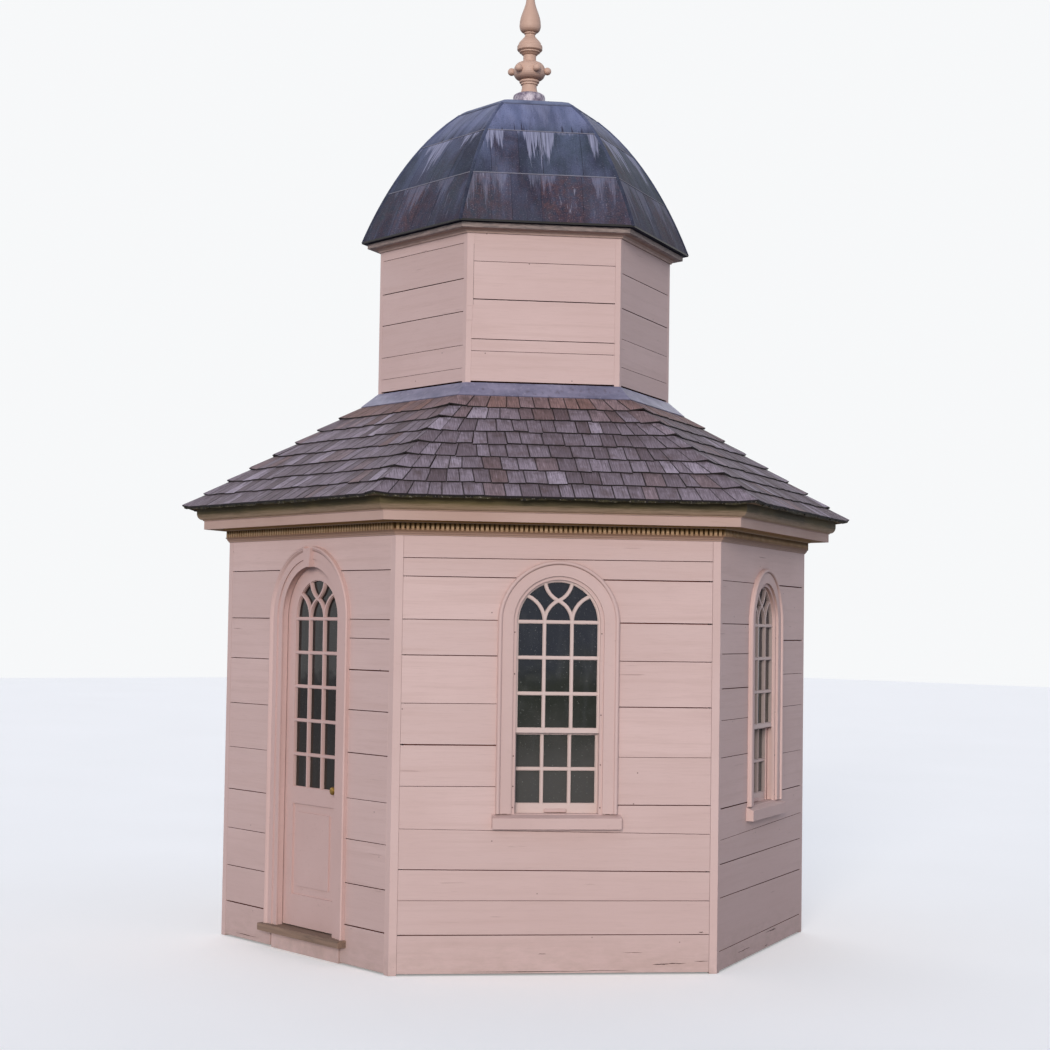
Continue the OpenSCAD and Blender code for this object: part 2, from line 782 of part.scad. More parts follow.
// Turned finial: foot, ring, bulb with balls, disc, vase and top ball
module finial() {
    ring_r = foot_r - 3;
    z1 = finial_z + foot_h + 8;
    z2 = z1 + 35;
    zb = z2 + bulb_h * 0.4;
    z3 = z2 + bulb_h;
    z4 = z3 + neck_h + 28;
    z5 = z4 + 11;
    z6 = z5 + 31;
    z7 = z6 + disc_h;
    vase_foot = neck_r - 11;
    z8 = z7 + 11;
    z9 = z8 + 50;
    z10 = z9 + taper_h;
    z11 = z10 + 14;
    tip_r = vase_foot - 5;
    color("mistyrose") {
        rotate_extrude() polygon(concat(
            [[0, finial_z], [foot_r, finial_z], [foot_r, finial_z + 8]],
            swell(foot_r - 1, finial_z + 9, foot_r - 22, z1 - 2),
            [[ring_r - 10, z1], [ring_r - 10, z1 + 12], [ring_r - 2, z1 + 15], [ring_r, z1 + 20],
             [ring_r, z1 + 27], [ring_r - 3, z1 + 31], [ring_r - 9, z2 - 2]],
            swell(ring_r - 1, z2, bulb_r, zb), shoulder(bulb_r - 0.5, zb + 5, neck_r + 11, z3 - 15),
            [[neck_r + 4, z3 - 10], [neck_r, z3], [neck_r, z4 - 28], [neck_r + 8, z4 - 24],
             [disc_r - 26, z4 - 14], [disc_r - 16, z4 - 8], [disc_r - 15, z4]],
            [[disc_r - 5, z5 - 6], [disc_r, z5], [disc_r, z6 - 8], [disc_r - 3, z6]],
            ogee(disc_r - 8, z6 + 4, vase_foot, z7), [[vase_foot + 8, z8 - 6], [vase_foot + 8, z8]],
            swell(vase_foot + 8, z8 + 2, vase_r, z9), ogee(vase_r - 1, z9 + 10, tip_r, z10, 8),
            [[tip_r + 9, z11 - 8], [tip_r + 9, z11]],
            [for (i = [2:9]) [ball_r * sin(18 * i), z11 + ball_r * (cos(36) - cos(18 * i))]],
            [[0, z11 + ball_r * (cos(36) + 1)]]));
        for (k = [0:5]) rotate([0, 0, 46 + 60 * k]) translate([bulb_r + stud_r / 2, 0, zb + 4]) {
            sphere(r = stud_r);
            translate([-stud_r * 1.5, 0, 0]) rotate([0, 90, 0]) cylinder(r = stud_r * 0.5, h = stud_r);
        }
    }
}

floor_deck();
floor_joists();
corner_posts();
window_wall(1);  // window_wall_1
window_wall(2);  // window_wall_2
window_wall(3);  // window_wall_3
window_wall(4);  // window_wall_4
window_wall(5);  // window_wall_5
door_pier(-1);  // door_pier_left
door_pier(1);  // door_pier_right
door_head();
door_base_wall();
window_frames();
window_casings();
window_sills();
upper_sash(1);  // upper_sash_1
upper_sash(2);  // upper_sash_2
upper_sash(3);  // upper_sash_3
upper_sash(4);  // upper_sash_4
upper_sash(5);  // upper_sash_5
lower_sash(1);  // lower_sash_1
lower_sash(2);  // lower_sash_2
lower_sash(3);  // lower_sash_3
lower_sash(4);  // lower_sash_4
lower_sash(5);  // lower_sash_5
window_glass();
threshold();
door_frame();
door_architrave();
keystone();
door_leaf();
door_glass();
door_knob();
hinge_plates_frame();
hinge_plates_leaf();
bed_mould();
dentil_band();
corona();
rafters();
roof_deck();
shingle_courses();
drum_curb();
roof_flashing();
drum_posts();
drum_walls();
drum_cornice();
dome_shell();
dome_cap();
finial_collar();
finial();
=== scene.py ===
import bpy
import math
import random
from mathutils import Vector, Matrix


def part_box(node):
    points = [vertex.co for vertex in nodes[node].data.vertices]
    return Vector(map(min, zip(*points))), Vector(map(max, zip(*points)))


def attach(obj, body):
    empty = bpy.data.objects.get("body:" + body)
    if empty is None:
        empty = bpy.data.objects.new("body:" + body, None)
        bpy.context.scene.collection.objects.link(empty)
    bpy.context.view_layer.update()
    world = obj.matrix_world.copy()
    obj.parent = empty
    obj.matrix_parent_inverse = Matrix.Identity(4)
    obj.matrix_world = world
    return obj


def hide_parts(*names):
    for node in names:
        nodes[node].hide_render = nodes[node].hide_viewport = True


# Boards, shingles, sheet metal and small details are made here, other pieces are the CAD nodes
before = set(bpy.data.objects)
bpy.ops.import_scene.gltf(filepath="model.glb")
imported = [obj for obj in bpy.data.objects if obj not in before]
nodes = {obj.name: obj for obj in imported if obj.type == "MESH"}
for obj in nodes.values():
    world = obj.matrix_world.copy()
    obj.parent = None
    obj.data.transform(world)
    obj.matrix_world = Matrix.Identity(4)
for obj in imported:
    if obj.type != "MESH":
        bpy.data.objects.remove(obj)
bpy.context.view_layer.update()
random.seed(7)

# Sizes in metres, as in the CAD model
COS30 = math.cos(math.radians(30))
TAN30 = math.tan(math.radians(30))
SIDE = 2.0  # a wall from corner to corner
APO = SIDE * COS30  # from the axis to the face of a wall
CORNER = 0.048  # a corner post, on each of its two walls
SPRING = 2.121  # where the arches spring
SILL_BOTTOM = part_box("window_sills")[0].z
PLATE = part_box("corner_posts")[1].z
WINDOW_HOLE, DOOR_HOLE = 0.3002, 0.400  # half widths of the openings
DOOR_SHIFT = 0.050  # of the doorway's middle from its wall's

# Heights in the main cornice
CORNICE, DENTIL, DENTIL_TOP = 2.630, 2.662, 2.706
SOFFIT, CROWN, CROWN_TOP = 2.719, 2.772, 2.828

# Roof: its pitch, the edge of the shingles, a butt's height above the boards, what a course shows
PITCH = math.radians(34.5)
SP, CP = math.sin(PITCH), math.cos(PITCH)
EAVE_A = APO + 0.291
EAVE_Z = 2.864
BUTT = 0.020
COURSE = 0.158

# Drum: its foot is where it meets the shingles
DRUM_SIDE = 1.014
DRUM_A = DRUM_SIDE * COS30
DRUM_FOOT = 3.651
DRUM_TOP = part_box("drum_walls")[1].z

# Dome: part of an ellipse between two angles, and its two level seams
DOME_Z = 4.7052
DOME_H = 0.930
DOME_A = DRUM_A + 0.108
DOME_T0, DOME_T1 = math.radians(38.75), math.radians(71.4)
DOME_RX = DOME_A / math.cos(DOME_T0)
DOME_RZ = DOME_H / (math.sin(DOME_T1) - math.sin(DOME_T0))
SEAM_LOW, SEAM_HIGH = 5.049, 5.381


def on_face(k, u, d, z, apo=APO):
    """A point on wall k: u along it, d behind its outer plane, z up."""
    t = math.radians(60 * k)
    y = d - apo
    return Vector((u * math.cos(t) - y * math.sin(t), u * math.sin(t) + y * math.cos(t), z))


def half_slope(s):
    """Half width of a roof slope at s up it from the eave."""
    return (EAVE_A - s * CP) * TAN30


def slope(k, u, s, n):
    """A point on roof slope k: u along it, s up it from the eave, n above the roof boards."""
    a = EAVE_A - s * CP + (n - BUTT) * SP
    return on_face(k, u, 0.0, EAVE_Z + s * SP + (n - BUTT) * CP, a)


def dome_half(z, off=0.0):
    """Half width of a gore at height z, with its height and apothem when it stands off by off."""
    t = math.asin(math.sin(DOME_T0) + (z - DOME_Z) / DOME_RZ)
    na, nz = math.cos(t) / DOME_RX, math.sin(t) / DOME_RZ
    size = math.hypot(na, nz)
    a = DOME_RX * math.cos(t) + off * na / size
    return a * TAN30, z + off * nz / size, a


def on_dome(k, u, z, off):
    """A point on gore k, kept between its hips: u along it, off above its surface at height z."""
    half, top, a = dome_half(z, off)
    return on_face(k, max(-half, min(half, u)), 0.0, top, a)


def lin(r, g, b):
    """A screen colour as Blender's linear colour."""
    return tuple(((c / 255 + 0.055) / 1.055) ** 2.4 if c > 10 else c / 255 / 12.92
                 for c in (r, g, b)) + (1.0,)


def shade(base, r, g=None, b=None):
    """A screen colour made darker or lighter, by one factor or by a factor for each channel."""
    return lin(*[min(255, c * f) for c, f in zip(base, (r, g or r, b or g or r))])


class Mat:
    """A material and a short way of adding nodes to it."""

    def __init__(self, name, rough=0.6, metal=0.0, specular=0.5):
        self.m = bpy.data.materials.new(name)
        self.m.use_nodes = True
        self.t = self.m.node_tree
        self.b = self.t.nodes["Principled BSDF"]
        self.b.inputs["Roughness"].default_value = rough
        self.b.inputs["Metallic"].default_value = metal
        self.b.inputs["Specular IOR Level"].default_value = specular

    def n(self, kind, ins=None, **props):
        """A new node, with its inputs linked or set and its properties set."""
        x = self.t.nodes.new("ShaderNode" + kind)
        for k, v in props.items():
            setattr(x, k, v)
        for k, v in (ins or {}).items():
            self.put(x.inputs[k], v)
        return x

    def put(self, sock, v):
        """Link an input to a socket, or set it to a value."""
        if isinstance(v, bpy.types.NodeSocket):
            self.t.links.new(v, sock)
        else:
            sock.default_value = v

    def coord(self):
        return self.n("TexCoord").outputs["Object"]

    def normal(self):
        return self.n("NewGeometry").outputs["Normal"]

    def uv(self):
        return self.n("UVMap", uv_map="uv").outputs[0]

    def mapped(self, vec, scale, loc=(0, 0, 0)):
        return self.n("Mapping", {"Vector": vec, "Scale": scale, "Location": loc}).outputs[0]

    def noise(self, vec, scale, detail=4.0, rough=0.55, dist=0.0):
        ins = {"Vector": vec, "Scale": scale, "Detail": detail, "Roughness": rough,
               "Distortion": dist}
        return self.n("TexNoise", ins).outputs["Fac"]

    def ramp(self, fac, lo, hi, a=0.0, b=1.0):
        """From a at lo to b at hi, level beyond them."""
        ins = {"Value": fac, "From Min": lo, "From Max": hi, "To Min": a, "To Max": b}
        return self.n("MapRange", ins).outputs[0]

    def math(self, op, a, b=0.0):
        return self.n("Math", {0: a, 1: b}, operation=op).outputs[0]

    def times(self, first, *rest):
        for r in rest:
            first = self.math("MULTIPLY", first, r)
        return first

    def mix(self, fac, a, b):
        """Colour a where fac is 0 and colour b where it is 1."""
        x = self.n("Mix", data_type="RGBA", blend_type="MIX")
        self.put(x.inputs[0], fac)
        self.put(x.inputs[6], a)
        self.put(x.inputs[7], b)
        return x.outputs[2]

    def attr(self, name):
        return self.n("Attribute", attribute_name=name).outputs["Fac"]

    def xyz(self, vec=None):
        return self.n("SeparateXYZ", {0: vec or self.coord()}).outputs

    def facing_down(self):
        """1 where a surface faces the ground, 0 where it is upright or faces up."""
        return self.ramp(self.xyz(self.normal())[2], -0.25, -0.85)

    def apothem(self, vec=None):
        """Distance of a point from the axis of the plan, measured square to the nearest side."""
        p = self.xyz(vec)
        far = self.math("ABSOLUTE", p[1])
        for s in (-1, 1):
            x, y = self.math("MULTIPLY", p[0], COS30), self.math("MULTIPLY", p[1], 0.5 * s)
            far = self.math("MAXIMUM", far, self.math("ABSOLUTE", self.math("ADD", x, y)))
        return far

    def color(self, c):
        self.put(self.b.inputs["Base Color"], c)

    def rough(self, r):
        self.put(self.b.inputs["Roughness"], r)

    def specular(self, s):
        self.put(self.b.inputs["Specular IOR Level"], s)

    def bump(self, h, dist, strength):
        x = self.n("Bump", {"Height": h, "Distance": dist, "Strength": strength})
        self.put(self.b.inputs["Normal"], x.outputs[0])


def paint(name, base, stain=0.2, ground=0.0, sides=0.0):
    """Old oil paint on mouldings: faint stains, small chips and a little dirt near the ground,
    painted shade on faces that look down, and darker by sides on faces that aren't parallel to a
    wall: painted shade on the sides of the sash bars."""
    m = Mat(name, 0.58)
    co = m.coord()
    big = m.noise(co, 1.3, 3)
    fine = m.noise(m.mapped(co, (4, 4, 9)), 5.0, 6, 0.65)
    c = m.mix(m.ramp(big, 0.35, 0.68), lin(*base), shade(base, 0.965, 0.955, 0.95))
    c = m.mix(m.ramp(fine, 0.56, 0.76, 0, stain), c, shade(base, 0.80, 0.76, 0.73))
    chip = m.noise(m.mapped(co, (1, 1, 0.8)), 34.0, 4, 0.6)
    c = m.mix(m.ramp(chip, 0.72, 0.75, 0, 0.55), c, shade(base, 0.62, 0.55, 0.50))
    # Painted shade: faces that look down are darker and browner
    c = m.mix(m.times(m.facing_down(), 0.75), c, shade(base, 0.66, 0.58, 0.52))
    # Painted shade: faces that aren't parallel to a wall, such as the sides of the bars, are
    # darker
    if sides:
        flat = m.apothem(m.normal())
        c = m.mix(m.ramp(flat, 0.97, 0.90, 0, sides), c, shade(base, 0.60))
    if ground:
        dirt = m.ramp(m.noise(co, 8.0, 6, 0.7), 0.4, 0.65)
        dirt = m.times(dirt, m.ramp(m.xyz()[2], 0.20, 0.0, 0.0, ground))
        c = m.mix(dirt, c, lin(120, 104, 88))
    m.color(c)
    m.bump(fine, 0.0008, 0.5)
    return m.m


def board_paint(name, base):
    """Oil paint on flush boards: brushed grain along them, hair cracks, nail spots, a dirty foot
    and a little painted shade below 1 m. Level faces, which are only seen in the joints, are dark
    red-brown and don't shine: painted shade in the joints."""
    m = Mat(name, 0.60)
    uv = m.uv()
    grain = m.noise(m.mapped(uv, (3.6, 120, 1)), 2.0, 6, 0.64, 0.15)
    split = m.noise(m.mapped(uv, (1.7, 52, 1), (3, 7, 0)), 1.5, 2, 0.5, 0.2)
    big = m.noise(m.mapped(uv, (1.0, 1.6, 1)), 1.1, 4, 0.5)
    c = m.mix(m.attr("tone"), shade(base, 0.975), shade(base, 1.015))
    c = m.mix(m.ramp(big, 0.36, 0.66, 0, 0.8), c, shade(base, 0.965, 0.955, 0.952))
    streak = m.noise(m.mapped(uv, (0.9, 24, 1), (5, 2, 0)), 1.0, 4, 0.6)
    c = m.mix(m.ramp(streak, 0.48, 0.70, 0, 0.75), c, shade(base, 0.945, 0.93, 0.92))
    c = m.mix(m.ramp(grain, 0.54, 0.78, 0, 0.46), c, shade(base, 0.82, 0.785, 0.765))
    c = m.mix(m.ramp(grain, 0.42, 0.26, 0, 0.30), c, shade(base, 1.05))
    c = m.mix(m.ramp(split, 0.735, 0.765, 0, 0.55), c, shade(base, 0.62, 0.54, 0.51))
    dots = m.n("TexVoronoi", {"Vector": uv, "Scale": 3.4}, voronoi_dimensions="2D")
    pick = m.n("SeparateColor", {0: dots.outputs["Color"]}).outputs[0]
    nail = m.times(m.ramp(dots.outputs["Distance"], 0.010, 0.019, 1, 0), m.ramp(pick, 0.74, 0.76))
    c = m.mix(m.times(nail, 0.75), c, shade(base, 0.45, 0.38, 0.36))
    z = m.xyz()[2]
    # Painted shade: a little darker from 1 m down towards the foot
    c = m.mix(m.ramp(z, 1.0, 0.45, 0, 0.7), c, m.mix(0.5, c, shade(base, 0.90, 0.89, 0.89)))
    foot = m.noise(m.mapped(uv, (2.2, 6, 1)), 3.0, 6, 0.7)
    dirt = m.times(m.ramp(foot, 0.40, 0.66), m.ramp(z, 0.30, 0.0, 0.0, 0.34))
    c = m.mix(dirt, c, lin(150, 128, 112))
    # Painted shade in the joints: level faces dark red-brown and without shine
    level_face = m.math("ABSOLUTE", m.xyz(m.normal())[2])
    c = m.mix(m.ramp(level_face, 0.75, 0.95), c, lin(92, 44, 31))
    m.specular(m.ramp(level_face, 0.75, 0.95, 0.5, 0.0))
    m.color(c)
    m.bump(m.math("SUBTRACT", m.times(grain, 0.5), m.ramp(split, 0.73, 0.77)), 0.0016, 0.55)
    return m.m


BOARD = (209, 180, 174)
mat_board = board_paint("painted_boards", BOARD)
mat_post = paint("painted_posts", BOARD, 0.14, 0.3)
mat_trim = paint("painted_trim", (205, 176, 170), 0.18, 0.25)
# The sides of the sash bars get painted shade
mat_sash = paint("painted_sash", (212, 189, 182), 0.22, 0.0, 0.70)
mat_door = paint("painted_door", (203, 172, 166), 0.20, 0.25)
mat_lining = paint("inner_lining", (206, 186, 172), 0.2)
mat_finial = paint("painted_finial", (203, 168, 149), 0.20)


def cornice_paint():
    """Cornice paint, dark and green-brown with painted shade under the shingles, on the crown and
    its step, under the soffit and on the top of the bed mould.
    """
    m = Mat("cornice_painted_shade", 0.65, 0.0, 0.30)
    co = m.coord()
    z = m.xyz()[2]
    a = m.apothem()
    big = m.noise(co, 1.6, 5)
    fine = m.noise(m.mapped(co, (1.5, 1.5, 26)), 4.0, 5, 0.65)
    c = m.mix(m.ramp(big, 0.35, 0.7), lin(192, 162, 151), lin(182, 151, 138))
    c = m.mix(m.ramp(fine, 0.55, 0.8, 0, 0.3), c, lin(160, 128, 108))
    # Painted shade: dark green-brown under the soffit
    under = m.times(m.ramp(z, SOFFIT - 0.019, SOFFIT - 0.007),
                    m.ramp(z, SOFFIT + 0.0005, SOFFIT + 0.0015, 1.0, 0.0),
                    m.ramp(a, APO + 0.136, APO + 0.142, 1, 0))
    c = m.mix(m.times(under, 0.96), c, lin(136, 98, 42))
    # Painted shade: the top of the bed mould, under the dentils, darker brown
    bed = m.times(m.ramp(z, CORNICE + 0.006, DENTIL - 0.002, 0.45, 0.95),
                  m.ramp(z, DENTIL + 0.002, DENTIL + 0.0005))
    c = m.mix(bed, c, lin(130, 98, 74))
    # Painted shade: a dark line at the foot of the crown, the crown browner, then dark green-brown
    # up under the shingles
    step = m.times(m.ramp(z, CROWN - 0.002, CROWN + 0.002),
                   m.ramp(z, CROWN + 0.014, CROWN + 0.007))
    c = m.mix(m.times(step, 0.5), c, lin(132, 100, 74))
    c = m.mix(m.ramp(z, CROWN + 0.002, CROWN + 0.006, 0, 0.7), c, lin(166, 140, 108))
    up = m.math("ADD", m.ramp(z, CROWN + 0.004, CROWN_TOP - 0.002),
                m.ramp(fine, 0.3, 0.7, -0.16, 0.16))
    up = m.times(m.ramp(up, 0.0, 0.85, 0, 0.97), m.ramp(z, CROWN + 0.002, CROWN + 0.006))
    c = m.mix(up, c, m.mix(m.ramp(big, 0.4, 0.6), lin(60, 52, 26), lin(86, 74, 40)))
    m.color(c)
    m.bump(fine, 0.001, 0.5)
    return m.m


def dentil_paint():
    """Cream faces on the dentils with the corona's painted shadow over their tops and painted
    shade along their foot, and dark brown painted shade in the recesses between them.
    """
    m = Mat("dentils", 0.65, 0.0, 0.15)
    co = m.coord()
    blot = m.ramp(m.noise(co, 9.0, 5), 0.35, 0.65)
    z = m.xyz()[2]
    face = m.mix(blot, lin(202, 168, 130), lin(176, 142, 104))
    # Painted shadow of the corona: the dentil faces dark olive above their lower part
    face = m.mix(m.ramp(z, DENTIL + 0.018, DENTIL + 0.032, 0, 0.9), face, lin(96, 70, 32))
    # Painted shade: dark brown in the recesses between the dentils
    back = m.mix(blot, lin(98, 70, 38), lin(74, 52, 24))
    c = m.mix(m.ramp(m.apothem(), APO + 0.010, APO + 0.0275), back, face)
    # Painted shade: a mid-brown band along the foot of the dentils, where the recesses are less
    # dark
    c = m.mix(m.ramp(z, DENTIL + 0.012, DENTIL + 0.008, 0, 0.7), c, lin(160, 126, 100))
    m.color(c)
    return m.m


def drum_cornice_paint():
    """Pink mouldings under a thin grey-brown fascia below the dome, with painted shade on faces
    that look down.
    """
    m = Mat("drum_cornice", 0.62)
    co = m.coord()
    z = m.xyz()[2]
    fine = m.noise(m.mapped(co, (3, 3, 18)), 4.0, 5, 0.65)
    c = m.mix(m.ramp(fine, 0.4, 0.75), lin(206, 176, 164), lin(176, 146, 130))
    fascia = m.mix(m.ramp(fine, 0.35, 0.65), lin(158, 138, 130), lin(104, 92, 90))
    # Painted shade: faces that look down darker brown
    c = m.mix(m.times(m.facing_down(), 0.8), c, lin(120, 90, 72))
    c = m.mix(m.ramp(z, DOME_Z - 0.0385, DOME_Z - 0.0365), c, fascia)
    m.color(c)
    m.bump(fine, 0.001, 0.5)
    return m.m


mat_cornice = cornice_paint()
mat_dentil = dentil_paint()
mat_drum_cornice = drum_cornice_paint()


def plain(name, base, rough, metal=0.0, specular=0.5):
    """One colour, a little darker and lighter in places."""
    m = Mat(name, rough, metal, specular)
    co = m.coord()
    f = m.noise(co, 8.0, 6, 0.6)
    m.color(m.mix(m.ramp(f, 0.3, 0.7), shade(base, 0.88), shade(base, 1.12)))
    m.bump(m.noise(co, 72.0, 4), 0.0006, 0.5)
    return m.m


mat_brass = plain("old_brass", (150, 118, 62), 0.38, 0.9)
mat_iron = plain("black_iron", (38, 36, 35), 0.5, 0.6)
mat_dark = plain("dark_wood_and_painted_shade", (44, 24, 17), 0.9, 0.0, 0.02)
mat_core = plain("joint_shadow", (112, 44, 26), 0.9, 0.0, 0.0)
mat_screw = plain("rusty_screws", (72, 48, 40), 0.7, 0.3)


def timber(name, base, rough=0.75, plank=0.0):
    """Bare timber with its grain along X, in planks of the given width where there is one."""
    m = Mat(name, rough)
    co = m.coord()
    g = m.noise(m.mapped(co, (1.3, 26.0, 26.0)), 1.6, 6, 0.65, 0.6)
    c = m.mix(m.ramp(g, 0.3, 0.72), lin(*base), shade(base, 0.6))
    if plank:
        y = m.math("DIVIDE", m.xyz(co)[1], plank)
        edge = m.math("ABSOLUTE", m.math("SUBTRACT", m.math("FRACT", y), 0.5))
        own = m.noise(m.n("CombineXYZ", {1: m.math("FLOOR", y)}).outputs[0], 3.7, 0)
        c = m.mix(m.ramp(own, 0.3, 0.7, 0, 0.35), c, shade(base, 0.75))
        c = m.mix(m.ramp(edge, 0.482, 0.492), c, shade(base, 0.25))
    m.color(c)
    m.bump(g, 0.001, 0.5)
    return m.m


mat_floor = timber("floor_boards", (142, 108, 80), 0.6, 0.135)
mat_tread = timber("door_step", (150, 122, 104))
mat_rough = timber("sawn_timber", (158, 124, 92), 0.85)


def shingle_mat(name, mossy=False):
    """Weathered shingles: each its own tone, grain up the slope, browner high up, with painted
    shade on the butts, along the edges and under the butt above.
    """
    m = Mat(name, 0.80)
    uv = m.uv()
    g = m.noise(m.mapped(uv, (190, 6, 1)), 1.0, 6, 0.66)
    thin = m.noise(m.mapped(uv, (420, 9, 1)), 1.0, 3, 0.6)
    blot = m.noise(m.mapped(uv, (11, 7, 1)), 1.0, 5, 0.6)
    c = m.mix(m.attr("tone"), lin(92, 75, 82), lin(186, 171, 186))
    c = m.mix(m.attr("warm"), c, lin(148, 108, 94))
    c = m.mix(m.ramp(g, 0.42, 0.70, 0.0, 0.80), c, lin(54, 44, 50))
    c = m.mix(m.ramp(g, 0.45, 0.28, 0.0, 0.45), c, lin(182, 168, 184))
    c = m.mix(m.ramp(thin, 0.54, 0.70, 0.0, 0.60), c, lin(44, 36, 40))
    c = m.mix(m.ramp(blot, 0.53, 0.70, 0.0, 0.60), c, lin(76, 56, 54))
    # Stains and painted shade darken each shingle towards its top, under the butt above
    stain = m.times(m.ramp(m.attr("up"), 0.30, 0.95), m.ramp(m.noise(uv, 17.0, 4), 0.42, 0.60),
                    0.70)
    c = m.mix(stain, c, lin(60, 46, 46))
    # Painted shade along a shingle's edges, beside the gaps
    c = m.mix(m.ramp(m.attr("side"), 0.15, 1.0, 0.0, 0.75), c, lin(40, 31, 35))
    # Painted shade: a shingle's butt, sides and underside near black
    dark = lin(30, 23, 24)
    if mossy:
        co = m.coord()
        green = m.ramp(m.noise(m.mapped(co, (1, 1, 2)), 30.0, 6, 0.7), 0.40, 0.56)
        specks = m.ramp(m.noise(co, 85.0, 3), 0.60, 0.68, 0.0, 0.85)
        dark = m.mix(specks, m.mix(green, dark, lin(66, 60, 34)), lin(158, 148, 132))
        # The starter course mostly dark: moss and painted shade under the eave
        c = m.mix(0.8, c, dark)
    c = m.mix(m.attr("butt"), c, dark)
    m.color(c)
    m.bump(m.math("ADD", g, m.times(thin, 0.5)), 0.0022, 0.8)
    return m.m


mat_shingle = shingle_mat("shingles")
mat_starter = shingle_mat("mossy_shingles_painted_shade", True)


def lead_mat():
    """Sheet lead with dark and pale streaks running down."""
    m = Mat("weathered_lead", 0.50, 0.25)
    co = m.coord()
    f = m.noise(m.mapped(co, (1, 1, 4)), 3.5, 6, 0.6)
    c = m.mix(m.ramp(f, 0.3, 0.7), lin(104, 104, 128), lin(146, 142, 166))
    s = m.noise(m.mapped(co, (16, 16, 1)), 2.0, 5, 0.6)
    c = m.mix(m.ramp(s, 0.54, 0.72, 0, 0.55), c, lin(84, 76, 88))
    c = m.mix(m.ramp(s, 0.42, 0.28, 0, 0.45), c, lin(176, 170, 186))
    m.color(c)
    m.bump(m.noise(co, 14.0, 4), 0.002, 0.5)
    return m.m


